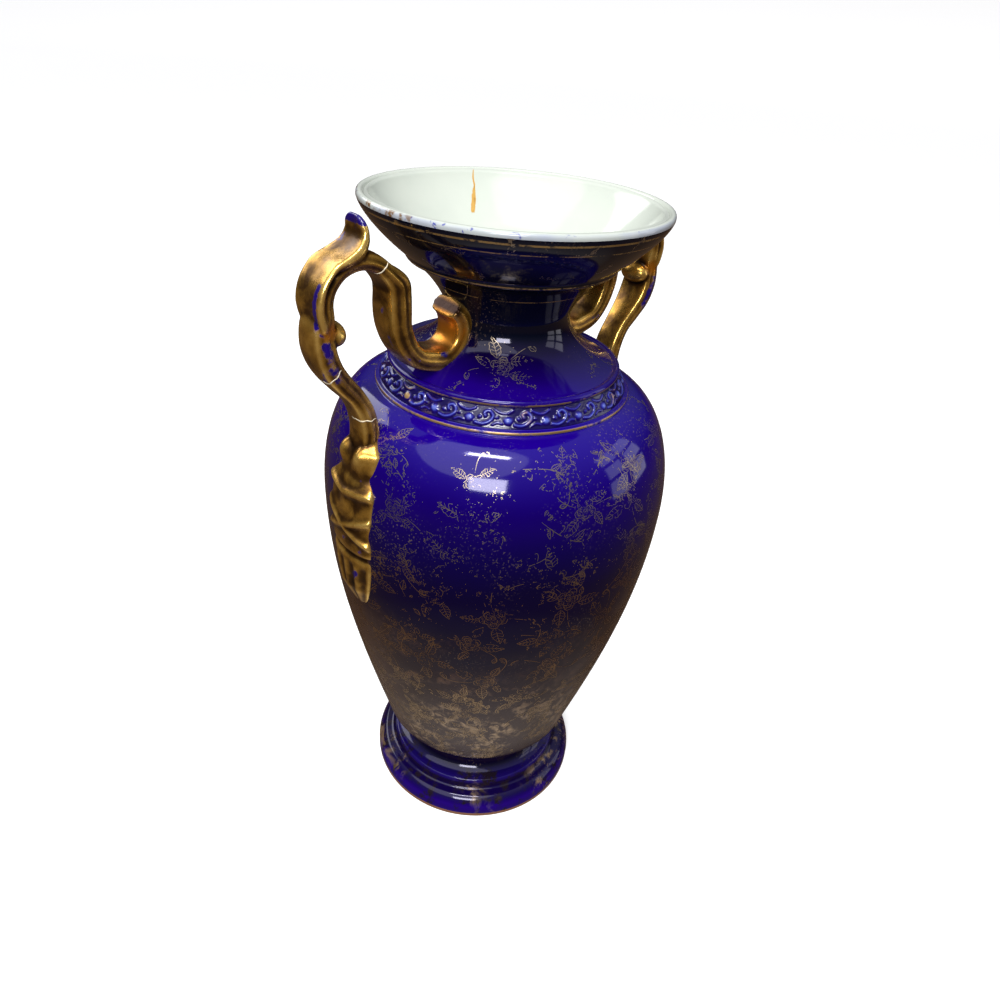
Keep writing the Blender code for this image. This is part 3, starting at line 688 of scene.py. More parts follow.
def mark_hollows(mesh):
    """Store whether each point lies below (above 0.5) or above (below 0.5) its surroundings."""
    count = len(mesh.vertices)
    places = vertex_array(mesh, "co").astype(float)
    edges = np.empty(2 * len(mesh.edges), dtype=np.int32)
    mesh.edges.foreach_get("vertices", edges)
    a, b = edges.reshape(-1, 2).T
    degree = np.bincount(a, minlength=count) + np.bincount(b, minlength=count)
    smooth = places.copy()
    for _ in range(HOLLOW_SMOOTHING):
        total = np.empty_like(smooth)
        for axis in range(3):
            total[:, axis] = np.bincount(a, smooth[b, axis], count) + np.bincount(b, smooth[a, axis], count)
        smooth = 0.4 * smooth + 0.6 * total / degree[:, None]
    depth = ((smooth - places) * vertex_array(mesh, "normal")).sum(1) / HOLLOW_DEPTH
    store_mark(mesh, "hollow", np.clip(0.5 + 0.5 * depth, 0, 1))


def distance_to_line(places, line):
    """Distance from each of an array of places to a line through points."""
    nearest = np.full(places.shape[:-1], 1.0)
    for start, end in zip(line, line[1:]):
        step = np.array(end) - np.array(start)
        from_start = places - np.array(start)
        share = np.clip(from_start @ step / (step @ step), 0, 1)
        nearest = np.minimum(nearest, np.linalg.norm(from_start - share[..., None] * step, axis=-1))
    return nearest


def painted(places, strokes):
    """How strongly brush strokes cover each place, from 0 to 1."""
    cover = np.zeros(len(places))
    for line, half_width in strokes:
        cover = np.maximum(cover, np.clip(1.35 - distance_to_line(places, line) / half_width, 0, 1))
    return cover


def mark_paint(mesh, tip_loss, side):
    """Store where the cobalt shows through the gilding, where the gold is reddest, and where painted shade
    darkens it.
    """
    places = vertex_array(mesh, "co")
    places[:, 1] *= side
    streak = []
    for angle in STREAK_ANGLES:
        out, up = arch_point(angle, ARCH_INNER_RADIUS + ARCH_THICKNESS + ARCH_LEAF_PROUD)
        streak.append((out, STREAK_SIDEWAYS, up))
    tip_z = RIM_Z - LEAF_TIP_BELOW_RIM - tip_loss
    blue_tip = np.clip((places[:, 2] - tip_z + BLUE_TIP_LENGTH) / BLUE_TIP_FADE, 0, 1)
    blue = painted(places, BLUE_STROKES + ((streak, STREAK_HALF_WIDTH),))
    store_mark(mesh, "blue", np.maximum(blue, blue_tip))
    store_mark(mesh, "red", painted(places, RED_STROKES))
    # Painted shade on the scroll's end face by the neck
    store_mark(mesh, "end_shade_mark", painted(places, END_SHADE_STROKES))


def repair_loops(surface, turn, material):
    """Pale filler that stands in the mended breaks round the strap of a handle."""
    tree = BVHTree.FromObject(surface, bpy.context.evaluated_depsgraph_get())
    stations = smooth_line(handle_stations())
    mesh = bmesh.new()
    for index, slant, first, last in REPAIRS:
        out, up, width, thickness = stations[index]
        along = direction_at(stations, index)
        ring = strap_ring((out, up), along, 1.02 * width, 1.02 * thickness)
        direction = Vector((along[0], 0, along[1])).normalized()
        across = Vector((direction.z, 0, -direction.x))
        path = []
        for side in range(first, last + 1):
            point = ring[side % STRAP_SIDES]
            jag = REPAIR_JAG * noise.noise(point * 420.0)
            jag += slant * (point - Vector((out, 0, up))).dot(across)
            point = Matrix.Rotation(turn, 4, "Z") @ (point + jag * direction)
            place, normal, _, _ = tree.find_nearest(point)
            path.append((place, normal))
        add_filler(mesh, path)
    data = bpy.data.meshes.new("handle_repairs")
    mesh.to_mesh(data)
    mesh.free()
    data.shade_smooth()
    new_piece("handle_repairs", data, material)


def add_filler(mesh, path):
    """A low bead of filler along places with normals, half sunk in the surface."""
    rings = []
    for index, (place, normal) in enumerate(path):
        before = path[max(index - 1, 0)][0]
        after = path[min(index + 1, len(path) - 1)][0]
        side = normal.cross(after - before).normalized()
        share = index / (len(path) - 1)
        half = REPAIR_HALF_WIDTH * (0.35 + 0.65 * min(1.0, 5 * min(share, 1 - share)))
        half *= 1.0 + 0.5 * noise.noise(place * 700.0)
        rings.append([place + half * (cos(a) * side + 0.6 * sin(a) * normal)
                      for a in (0, pi / 3, 2 * pi / 3, pi, 1.5 * pi)])
    join_rings(mesh, rings)


def collar_relief(x, y, repeat, height):
    """Height of the collar's moulding at places in one repeat: a boss, a scroll and small leaves."""
    relief = np.zeros(x.shape)
    for shift in (-repeat, 0.0, repeat):
        places = np.stack((x - shift, y), -1)
        for points, steps, width, raised in COLLAR_LINES:
            line = [(px * repeat, py * height) for px, py in smooth_line(points, steps)]
            gap = distance_to_line(places, line)
            relief = np.maximum(relief, raised * np.exp(-(gap / width) ** 2))
        for cx, cy, wide, tall, raised in COLLAR_BOSSES:
            gap = ((x - shift - cx * repeat) / wide) ** 2 + ((y - cy * height) / tall) ** 2
            relief = np.maximum(relief, raised * np.exp(-gap ** 1.5))
    return relief


def collar_band(material):
    """The moulded band between the collar's beads, raised a little from the turned surface."""
    low = (SHOULDER_RADIUS - 2 * LOWER_BEAD_RADIUS, SHOULDER_Z + 2 * LOWER_BEAD_RADIUS)
    high = COLLAR_TOP
    slant = dist(low, high)
    normal = ((high[1] - low[1]) / slant, (low[0] - high[0]) / slant)
    repeat = 2 * pi * 0.5 * (low[0] + high[0]) / BOSS_COUNT
    per_boss = COLLAR_SEGMENTS // BOSS_COUNT
    across = np.arange(per_boss) / per_boss * repeat
    x, y = np.meshgrid(across, np.arange(COLLAR_ROWS + 1) / COLLAR_ROWS * slant)
    relief = collar_relief(x, y, repeat, slant)
    relief *= np.clip(y / BAND_FADE, 0, 1) * np.clip((slant - y) / BAND_FADE, 0, 1)
    vertices = []
    faces = []
    for row in range(COLLAR_ROWS + 1):
        share = row / COLLAR_ROWS
        radius = low[0] + (high[0] - low[0]) * share
        z = low[1] + (high[1] - low[1]) * share
        edge = -BAND_SINK if row in (0, COLLAR_ROWS) else BAND_LIFT
        first = row * COLLAR_SEGMENTS
        for turn in range(COLLAR_SEGMENTS):
            lift = edge + BOSS_HEIGHT * relief[row, turn % per_boss]
            reach = radius + normal[0] * lift
            vertices.append((*polar(2 * pi * turn / COLLAR_SEGMENTS, reach), z + normal[1] * lift))
            beside = (turn + 1) % COLLAR_SEGMENTS
            if row < COLLAR_ROWS:
                above = first + COLLAR_SEGMENTS
                faces.append((first + turn, first + beside, above + beside, above + turn))
    mesh = bpy.data.meshes.new("collar_band")
    mesh.from_pydata(vertices, [], faces)
    mesh.shade_smooth()
    store_mark(mesh, "raised", np.tile(relief, (1, BOSS_COUNT)))
    new_piece("collar_band", mesh, material)


def rotated(points, angle, shift=(0.0, 0.0), scale=1.0):
    """Points turned by an angle in radians, scaled, and shifted."""
    c, s = polar(angle, scale)
    return [(shift[0] + c * x - s * y, shift[1] + s * x + c * y) for x, y in points]


def rose_lines(chance):
    """A full rose in a circle of radius 1: a curled heart, rings of petals and their hatching."""
    lines = [[polar(4.6 * pi * t / 44 * 1.6, 0.05 + 0.20 * t / 22) for t in range(23)]]
    rings = ((3, 0.26, 0.50, 0.75), (4, 0.44, 0.74, 0.62), (5, 0.62, 1.00, 0.52))
    for ring, (count, inner, outer, spread) in enumerate(rings):
        for petal in range(count):
            middle = 2 * pi * (petal + 0.35 * ring) / count + chance.uniform(-0.12, 0.12)
            edge = []
            for step in range(15):
                t = step / 14
                bulge = sin(pi * t) ** 0.55 * (1 + 0.07 * cos(6 * pi * t))
                angle = middle + spread * (2 * t - 1) * (1.25 - 0.25 * bulge)
                edge.append(polar(angle, inner + (outer - inner) * bulge))
            lines.append(edge)
            for hatch in range(3 + ring):
                angle = middle + spread * (hatch / (2 + ring) - 0.5) * 1.2
                end = inner + (outer - inner) * chance.uniform(0.45, 0.75)
                lines.append([polar(angle, inner + 0.04), polar(angle + 0.03, 0.5 * (inner + end)),
                              polar(angle, end)])
    return lines


def leaf_lines(chance):
    """A toothed leaf that grows along +X from 0 to 1, with its midrib and side veins."""
    lines = []
    bend = chance.uniform(-0.18, 0.18)
    for side in (-1, 1):
        edge = []
        for step in range(25):
            t = step / 24
            tooth = 1 - 0.22 * ((5.0 * t) % 1.0)
            edge.append((t, bend * t * t + side * 0.27 * sin(pi * t ** 0.8) * tooth))
        lines.append(edge)
        for vein in range(1, 6):
            t = vein / 6.5
            root = bend * t * t
            reach = side * 0.24 * sin(pi * (t + 0.12) ** 0.8)
            lines.append([(t, root), (t + 0.07, root + 0.55 * reach), (t + 0.12, root + reach)])
    lines.append([(t / 12, bend * (t / 12) ** 2) for t in range(13)])
    return lines


def tendril_line(length, curl, heading):
    """A stalk that starts along a heading and winds into a curl."""
    x = y = 0.0
    points = [(x, y)]
    steps = 46
    for step in range(steps):
        t = step / steps
        heading += curl * (0.25 + 5.5 * t ** 3) / steps * 2.2
        x, y = polar(heading, length / steps * (1.15 - 0.75 * t), (x, y))
        points.append((x, y))
    return points


def bud_lines():
    """A closed bud on +X, from 0 to 1."""
    left = [(t / 10, 0.24 * sin(pi * (t / 10) ** 1.2)) for t in range(11)]
    return [left, [(x, -y) for x, y in left], [(0.15, 0.02), (0.55, 0.06), (0.95, 0.0)]]


class Skin:
    """A turned surface that flat drawings are laid on, by angle and by run along the profile."""

    def __init__(self, profile):
        self.radius, self.height = np.array(profile).T
        self.run = np.concatenate(([0], np.cumsum(np.hypot(np.diff(self.radius), np.diff(self.height)))))

    def run_at(self, z):
        """The run along the profile at a height."""
        return float(np.interp(z, self.height, self.run))

    def at(self, run):
        """Radius and height at a run along the profile."""
        return np.interp(run, self.run, self.radius), np.interp(run, self.run, self.height)

    def lay(self, points, angle, run, lift):
        """Places and normals of flat points (metres) round a centre on the surface."""
        flat = np.array(points)
        along = np.clip(run + flat[:, 1], self.run[0], self.run[-1])
        radius, z = self.at(along)
        ahead_r, ahead_z = self.at(along + SLOPE_STEP)
        back_r, back_z = self.at(along - SLOPE_STEP)
        size = np.hypot(ahead_r - back_r, ahead_z - back_z) + TINY
        normal_r = (ahead_z - back_z) / size
        normal_z = (back_r - ahead_r) / size
        turn = angle + flat[:, 0] / radius
        reach = radius + normal_r * lift
        places = np.stack([reach * np.cos(turn), reach * np.sin(turn), z + normal_z * lift], 1)
        normals = np.stack([normal_r * np.cos(turn), normal_r * np.sin(turn), normal_z], 1)
        return places, normals


class Drawing:
    """Thin gilt lines and dots, gathered into one mesh. A spot is (skin, angle, run)."""

    def __init__(self, left, lift=GILT_LIFT):
        self.vertices = []
        self.faces = []
        self.left = left
        self.lift = lift

    def line(self, spot, points, width):
        """A line as a flat ribbon that narrows at its ends and is rubbed away in places."""
        skin, angle, run = spot
        places, normals = skin.lay(points, angle, run, self.lift)
        sides = np.cross(normals, np.gradient(places, axis=0))
        sides /= np.linalg.norm(sides, axis=1)[:, None] + TINY
        base = len(self.vertices)
        last = len(places) - 1
        for index, (place, side) in enumerate(zip(places, sides)):
            share = index / last
            half = 0.5 * width * (0.45 + 0.55 * min(1.0, 6 * min(share, 1 - share)))
            self.vertices += [place - half * side, place + half * side]
            if index < last and not self.rubbed(place):
                a = base + 2 * index
                self.faces.append((a, a + 1, a + 3, a + 2))

    def rubbed(self, place):
        """Whether the gilding has gone from a place."""
        coarse = noise.noise(Vector(place) * 90.0)
        fine = noise.noise(Vector(place) * 620.0)
        handled = exp(-((Vector(place) - MOST_WORN).length / MOST_WORN_REACH) ** 2)
        return 0.6 * coarse + 0.55 * fine > self.left - 0.30 * handled

    def dot(self, spot, point, radius):
        """A small dot with five corners."""
        skin, angle, run = spot
        ring = [polar(2 * pi * corner / 5, radius, point) for corner in range(5)]
        places, _ = skin.lay(ring, angle, run, self.lift)
        base = len(self.vertices)
        self.vertices.extend(places)
        self.faces.append(tuple(range(base, base + 5)))

    def spray(self, spot, size, tilt, seed, leaves=4, width=0.00024):
        """A rose with leaves, buds and curling stalks about it, on its own seed."""
        chance = random.Random(seed)
        for line in rose_lines(chance):
            self.line(spot, rotated(line, tilt, scale=0.42 * size), width)
        for leaf in range(leaves):
            out = tilt + 2 * pi * (leaf + chance.uniform(-0.25, 0.25)) / leaves
            length = size * chance.uniform(0.55, 0.85)
            lean = out + chance.uniform(-0.5, 0.5)
            for line in leaf_lines(chance):
                self.line(spot, rotated(line, lean, polar(out, 0.40 * size), length), width)
        for index in range(TENDRILS):
            out = tilt + 0.7 + 2 * pi * (index + chance.uniform(-0.3, 0.3)) / TENDRILS
            root = polar(out, 0.45 * size)
            curl = chance.choice((-1, 1)) * chance.uniform(1.0, 1.5)
            line = tendril_line(size * chance.uniform(1.3, 2.0), curl, out)
            self.line(spot, rotated(line, 0.0, root), 1.2 * width)
            end = rotated([line[22]], 0.0, root)[0]
            for bud in bud_lines():
                self.line(spot, rotated(bud, out + curl, end, 0.32 * size), width)
        for _ in range(26):
            out = chance.uniform(0, 2 * pi)
            reach = size * chance.uniform(0.3, 1.25)
            self.dot(spot, polar(out, reach), chance.uniform(0.00012, 0.00026))

    def branch(self, spot, size, tilt, seed):
        """A long winding stalk with small leaves, buds and curls, to fill between the roses."""
        chance = random.Random(seed)
        curl = chance.choice((-1, 1)) * chance.uniform(0.5, 0.9)
        stalk = tendril_line(2.6 * size, curl, tilt)
        self.line(spot, stalk, 0.00030)
        for step in range(5, 42, 6):
            root = stalk[step]
            ahead = atan2(stalk[step + 1][1] - root[1], stalk[step + 1][0] - root[0])
            side = 1 if (step // 6) % 2 else -1
            lean = ahead + side * chance.uniform(0.5, 1.1)
            length = size * chance.uniform(0.28, 0.50)
            if chance.random() < 0.6:
                for line in leaf_lines(chance)[::6] + leaf_lines(chance)[1:4]:
                    self.line(spot, rotated(line, lean, root, length), 0.00026)
            else:
                twig = tendril_line(1.1 * length, side * chance.uniform(1.0, 1.8), lean)[::2]
                self.line(spot, rotated(twig, 0.0, root), 0.00024)
                for bud in bud_lines():
                    self.line(spot, rotated(bud, lean, twig[8], 0.4 * length), 0.00024)
        for _ in range(14):
            x, y = stalk[chance.randrange(len(stalk))]
            point = (x + size * chance.uniform(-0.3, 0.3), y + size * chance.uniform(-0.3, 0.3))
            self.dot(spot, point, chance.uniform(0.00012, 0.00028))

    def piece(self, name, material):
        """Make the drawing a piece of the vase."""
        data = bpy.data.meshes.new(name)
        data.from_pydata([tuple(v) for v in self.vertices], [], self.faces)
        data.shade_smooth()
        new_piece(name, data, material)


def gilt_drawing():
    """The printed and gilded flowers on the body, the neck and the cup."""
    material = gilt_line()
    body = Skin(body_profile())
    drawing = Drawing(BODY_GILDING_LEFT)
    chance = random.Random(7)
    for row, (z, count, size) in enumerate(ROSE_ROWS):
        if row == FIRST_LOW_ROW:
            drawing.piece("body_gilding", material)
            drawing = Drawing(LOW_GILDING_LEFT)
        for index in range(count):
            angle = 2 * pi * (index + 0.5 * (row % 2)) / count + chance.uniform(-0.12, 0.12)
            spot = (body, angle, body.run_at(z) + chance.uniform(-0.006, 0.006))
            seed = 100 * row + index
            drawing.spray(spot, size * chance.uniform(0.85, 1.15), chance.uniform(0, 2 * pi), seed)
    drawing.piece("low_gilding", material)
    filling = Drawing(FINE_GILDING_LEFT)
    for row, (z, count, size) in enumerate(FILLING_ROWS):
        for index in range(count):
            angle = 2 * pi * (index + 0.25 + 0.5 * (row % 2)) / count + chance.uniform(-0.16, 0.16)
            spot = (body, angle, body.run_at(z) + chance.uniform(-0.007, 0.007))
            seed = 5000 + 100 * row + index
            filling.branch(spot, size * chance.uniform(0.8, 1.3), chance.uniform(0, 2 * pi), seed)
    upper = Skin(neck_profile())
    for row, (z, count, size) in enumerate(NECK_ROWS):
        for index in range(count):
            angle = NECK_ROWS_START + 2 * pi * (index + 0.5 * (row % 2)) / count
            spot = (upper, angle, upper.run_at(z) + chance.uniform(-0.001, 0.001))
            seed = 9000 + 100 * row + index
            if row == 0:
                filling.spray(spot, size, chance.uniform(0, 2 * pi), seed, 5, 0.00026)
            else:
                filling.branch(spot, size, chance.uniform(0, 2 * pi), seed)
    filling.piece("fine_gilding", material)


def glued_crack(material):
    """A mended crack that runs down the far wall inside the cup, widest low down."""
    wall = Skin(list(reversed(inner_profile())))
    drawing = Drawing(NEVER_RUBBED, -GILT_LIFT)
    spot = (wall, CRACK_TURN, wall.run_at(CRACK_TOP))
    line = []
    for x, y in smooth_line(CRACK_PATH, 8):
        line.append((x + CRACK_WANDER * noise.noise(Vector((900 * y, 0.0, 3.0))), y))
    drawing.line(spot, line, 0.0009)
    drawing.line(spot, line[18:], 0.0017)
    drawing.line(spot, [(x + 0.0009, y) for x, y in line[26:]], 0.0012)
    drawing.piece("glued_crack", material)


def colour_ramp(tree, value, stops):
    """Colours along a value in a node tree; stops are (position, colour)."""
    node = tree.nodes.new("ShaderNodeValToRGB")
    tree.links.new(value, node.inputs[0])
    elements = node.color_ramp.elements
    while len(elements) < len(stops):
        elements.new(0.5)
    for element, (position, colour) in zip(elements, stops):
        element.position = position
        element.color = (*colour, 1.0)
    return node.outputs[0]


class Shading:
    """A node material with short calls for the nodes that the glazes share."""

    def __init__(self, name):
        self.material = bpy.data.materials.new(name)
        self.material.use_nodes = True
        self.tree = self.material.node_tree
        self.shader = self.tree.nodes["Principled BSDF"]
        self.place = self.tree.nodes.new("ShaderNodeTexCoord").outputs["Object"]
        axes = self.tree.nodes.new("ShaderNodeSeparateXYZ")
        self.tree.links.new(self.place, axes.inputs[0])
        self.x, self.y, self.z = axes.outputs

    def give(self, socket, value):
        """Give an input socket a constant or a link."""
        if isinstance(value, bpy.types.NodeSocket):
            self.tree.links.new(value, socket)
        elif value is not None:
            socket.default_value = value

    def set(self, name, value):
        """Give one of the shader's own sockets a constant or a link."""
        self.give(self.shader.inputs[name], value)

    def mark(self, name):
        """A number that the mesh stores at each of its points."""
        node = self.tree.nodes.new("ShaderNodeAttribute")
        node.attribute_name = name
        return node.outputs["Fac"]

    def math(self, operation, first, second=None, third=None, clamp=False):
        """One sum with numbers or sockets."""
        node = self.tree.nodes.new("ShaderNodeMath")
        node.operation = operation
        node.use_clamp = clamp
        for socket, value in zip(node.inputs, (first, second, third)):
            self.give(socket, value)
        return node.outputs[0]

    def times(self, first, second):
        """The product of two values."""
        return self.math("MULTIPLY", first, second)

    def scaled(self, value, factor, offset):
        """A value times a factor, plus an offset."""
        return self.math("MULTIPLY_ADD", value, factor, offset)

    def noise(self, scale, detail, roughness=0.55, distortion=0.0):
        """Soft noise from 0 to 1 in the object's own space."""
        node = self.tree.nodes.new("ShaderNodeTexNoise")
        for name, value in (("Vector", self.place), ("Scale", scale), ("Detail", detail),
                            ("Roughness", roughness), ("Distortion", distortion)):
            self.give(node.inputs[name], value)
        return node.outputs["Fac"]

    def span(self, value, low, high, out_low=0.0, out_high=1.0, smooth=True):
        """Carry a value from one range to another, held at the ends."""
        node = self.tree.nodes.new("ShaderNodeMapRange")
        node.interpolation_type = "SMOOTHSTEP" if smooth else "LINEAR"
        for socket, number in zip(node.inputs, (value, low, high, out_low, out_high)):
            self.give(socket, number)
        return node.outputs[0]

    def patches(self, low, high, scale, detail, roughness=0.55, distortion=0.0):
        """Patches of noise, from 0 where it is below the low value to 1 above the high one."""
        return self.span(self.noise(scale, detail, roughness, distortion), low, high)

    def mix(self, factor, first, second):
        """A mix of two colours."""
        node = self.tree.nodes.new("ShaderNodeMix")
        node.data_type = "RGBA"
        self.give(node.inputs[0], factor)
        for index, value in ((6, first), (7, second)):
            self.give(node.inputs[index], (*value, 1.0) if isinstance(value, tuple) else value)
        return node.outputs[2]

    def ramp(self, value, stops):
        """Colours along a value; stops are (position, colour)."""
        return colour_ramp(self.tree, value, stops)

    def bump(self, height, strength, distance):
        """Make the surface uneven by a height."""
        node = self.tree.nodes.new("ShaderNodeBump")
        node.inputs["Strength"].default_value = strength
        node.inputs["Distance"].default_value = distance
        self.tree.links.new(height, node.inputs["Height"])
        self.tree.links.new(node.outputs[0], self.shader.inputs["Normal"])


def cobalt_glaze():
    """Cobalt with dirt, dust, gilt lines and painted shade; below the belly a gilt print on a painted brown
    reflection, densest near the foot.
    """
    s = Shading("cobalt glaze")
    level = s.math("ADD", s.z, s.scaled(s.noise(14.0, 3.0), 0.026, -0.013))
    # Painted shade: the cobalt is lightest on the shoulder and darkens down the belly, as if lit from
    # above; it is near black on the neck and cup
    blue = s.ramp(s.span(level, 0.0, RIM_Z, smooth=False), [
        (0.090, (0.003, 0.001, 0.018)), (0.450, (0.001, 0.000, 0.012)), (0.560, (0.001, 0.000, 0.022)),
        (0.620, (0.002, 0.000, 0.050)), (0.680, (0.005, 0.000, 0.090)), (0.760, (0.009, 0.000, 0.185)),
        (0.800, (0.008, 0.000, 0.120)), (0.825, (0.003, 0.000, 0.030)), (0.845, (0.002, 0.003, 0.010))])
    # Painted shade darkens the cove under the body and a painted highlight lightens the step's top edge;
    # the foot's outer side is vivid low down, the flange top and the step's side dark
    foot_blue_shade_and_highlight = s.ramp(s.span(s.z, 0.0, 0.040, smooth=False), [
        (0.00, (0.012, 0.001, 0.140)), (0.21, (0.012, 0.001, 0.140)), (0.31, (0.004, 0.001, 0.040)),
        (0.44, (0.003, 0.001, 0.022)), (0.49, (0.010, 0.004, 0.110)), (0.52, (0.006, 0.002, 0.070)),
        (0.60, (0.002, 0.001, 0.012)), (0.80, (0.003, 0.001, 0.024))])
    blue = s.mix(s.span(s.z, 0.034, 0.026), blue, foot_blue_shade_and_highlight)
    dirt = s.times(s.patches(0.50, 0.64, 120.0, 5.0, 0.65), s.span(s.z, 0.040, 0.020))
    blue = s.mix(dirt, blue, (0.010, 0.006, 0.012))

    # Painted reflection of brown surroundings: below the belly the brown reaches higher, and is browner, to
    # the left and right of the side facing the camera
    turn = s.math("ARCTAN2", s.y, s.x)
    swing = s.math("COSINE", s.scaled(turn, 2.0, radians(2 * 125.0)))
    edge = s.scaled(swing, -0.026, 0.188)
    below = s.math("SUBTRACT", edge, s.scaled(s.noise(34.0, 4.0), 0.070, -0.035))
    # Where the gilt print and the painted brown reflection under it lie, densest near the foot
    gilt_and_reflection = s.span(s.math("SUBTRACT", below, s.z), -0.012, 0.055)
    gilt_and_reflection = s.times(gilt_and_reflection, s.span(s.z, STEM_Z + 0.002, STEM_Z + 0.012))
    dapple = s.patches(0.46, 0.64, 150.0, 6.0, 0.72, 0.9)
    print_mark = s.times(dapple, s.patches(0.42, 0.58, 38.0, 3.0, 0.6, 0.8))
    # The brown under the gilt print is a painted reflection, lighter towards the foot
    depth = s.span(s.z, 0.150, 0.075)
    reflected_brown = s.mix(depth, (0.020, 0.009, 0.010), (0.060, 0.037, 0.022))
    reflected_brown = s.mix(s.span(swing, 0.40, -0.60), reflected_brown, (0.075, 0.032, 0.012))
    pale = s.mix(depth, (0.100, 0.052, 0.036), (0.520, 0.380, 0.220))
    colour = s.mix(gilt_and_reflection, blue, s.mix(print_mark, reflected_brown, pale))

    dust = s.times(s.patches(0.60, 0.70, 900.0, 2.0, 0.5), s.patches(0.48, 0.68, 24.0, 2.0))
    colour = s.mix(s.times(dust, 0.5), colour, (0.16, 0.11, 0.07))
    smudge_place = s.times(s.span(s.z, 0.022, 0.012), s.patches(0.42, 0.60, 22.0, 2.0))
    smudge = s.times(s.patches(0.50, 0.64, 70.0, 5.0, 0.7, 0.8), smudge_place)
    colour = s.mix(smudge, colour, (0.30, 0.20, 0.10))
    ring = 0.0
    for z, half in GILT_RINGS:
        near = s.span(s.math("ABSOLUTE", s.math("SUBTRACT", s.z, z)), half, 0.6 * half)
        ring = s.math("MAXIMUM", ring, near)
    ring = s.times(ring, s.patches(0.60, 0.44, 80.0, 5.0, 0.75))
    s.set("Base Color", s.mix(ring, colour, (0.40, 0.25, 0.09)))

    gilded = s.math("ADD", s.times(gilt_and_reflection, 0.55), s.times(smudge, 0.5), clamp=True)
    gilded = s.math("MAXIMUM", gilded, s.times(ring, 0.75))
    shine = s.math("MAXIMUM", s.span(print_mark, 0.0, 1.0, 0.55, 1.0), ring)
    s.set("Metallic", s.math("MULTIPLY", gilded, shine, clamp=True))
    s.set("Roughness", s.scaled(gilded, 0.34, s.scaled(s.noise(60.0, 2.0), 0.06, 0.05)))
    s.set("Specular IOR Level", 0.40)
    s.set("Specular Tint", (0.82, 0.80, 1.0, 1.0))
    print_height = s.times(print_mark, s.times(gilt_and_reflection, 0.12))
    s.bump(s.math("ADD", s.noise(46.0, 1.0), print_height), 0.35, 0.0006)
    return s.material


def white_glaze():
    """White glaze of the lip and the inside, faintly green, specked and rubbed along the outer edge."""
    s = Shading("white glaze")
    colour = s.mix(s.noise(40.0, 3.0), (0.46, 0.50, 0.45), (0.53, 0.56, 0.50))
    across = s.math("SQRT", s.math("ADD", s.times(s.x, s.x), s.times(s.y, s.y)))
    outer = s.span(across, RIM_RADIUS - 0.0014, RIM_RADIUS - 0.0002)
    at_lip = s.times(outer, s.span(s.z, RIM_Z - 0.006, RIM_Z - 0.003))
    left = s.span(s.scaled(s.y, -0.3, s.x), -0.058, -0.070)
    tint = s.span(s.noise(30.0, 3.0), 0.40, 0.60, 0.25, 0.75)
    specks = s.patches(0.62, 0.68, 190.0, 4.0, 0.6, 0.5)
    rubbed = s.times(left, s.patches(0.46, 0.56, 140.0, 4.0, 0.6))
    colour = s.mix(s.times(at_lip, tint), colour, (0.30, 0.33, 0.42))
    colour = s.mix(s.times(at_lip, specks), colour, (0.05, 0.06, 0.28))
    colour = s.mix(s.times(at_lip, rubbed), colour, (0.16, 0.09, 0.04))
    # Painted shade: the inside grows greyer deeper down
    deep = s.span(s.z, RIM_Z - 0.015, RIM_Z - 0.075)
    s.set("Base Color", s.mix(s.times(deep, 0.5), colour, (0.45, 0.47, 0.42)))
    s.set("Roughness", s.scaled(s.noise(90.0, 2.0), 0.08, 0.07))
    s.bump(s.noise(30.0, 2.0), 0.2, 0.0005)
    return s.material


def collar_glaze():
    """Cobalt on the collar, pale on the raised ornament and deep round it: partly glaze that is thin on the
    edges, partly painted highlight and painted shade.
    """
    s = Shading("collar glaze")
    raised = s.math("ADD", s.mark("raised"), s.scaled(s.noise(300.0, 4.0, 0.6), 0.7, -0.35))
    # Painted highlight on the raised tops and painted shade in the hollows round them, over glaze that
    # thins on the edges
    colour = s.ramp(raised, [(0.05, (0.003, 0.000, 0.050)), (0.35, (0.008, 0.002, 0.140)),
                             (0.65, (0.022, 0.028, 0.270)), (0.95, (0.090, 0.120, 0.460))])
    worn = s.times(s.patches(0.56, 0.66, 55.0, 4.0, 0.6), s.span(raised, 0.3, 0.6))
    s.set("Base Color", s.mix(worn, colour, (0.300, 0.190, 0.080)))
    s.set("Roughness", s.scaled(s.noise(60.0, 2.0), 0.08, 0.08))
    s.set("Specular IOR Level", 0.55)
    s.bump(s.noise(420.0, 3.0), 0.30, 0.0003)
    return s.material


def glue_stain():
    """The yellow line that old glue has left in a mended crack."""
    s = Shading("glue stain")
    s.set("Base Color", s.mix(s.noise(300.0, 4.0), (0.42, 0.19, 0.02), (0.56, 0.36, 0.09)))
    s.set("Roughness", 0.35)
    s.bump(s.noise(500.0, 2.0), 0.3, 0.0001)
    return s.material


def bare_clay():
    """Unglazed clay of the standing ring and the hollow under the foot."""
    s = Shading("bare clay")
    grain = s.noise(500.0, 4.0, 0.7)
    colour = s.mix(s.noise(40.0, 3.0), (0.20, 0.075, 0.035), (0.34, 0.17, 0.09))
    s.set("Base Color", s.mix(s.span(grain, 0.55, 0.75), colour, (0.12, 0.06, 0.03)))
    s.set("Roughness", s.scaled(grain, 0.2, 0.6))
    s.bump(grain, 0.5, 0.0003)
    return s.material


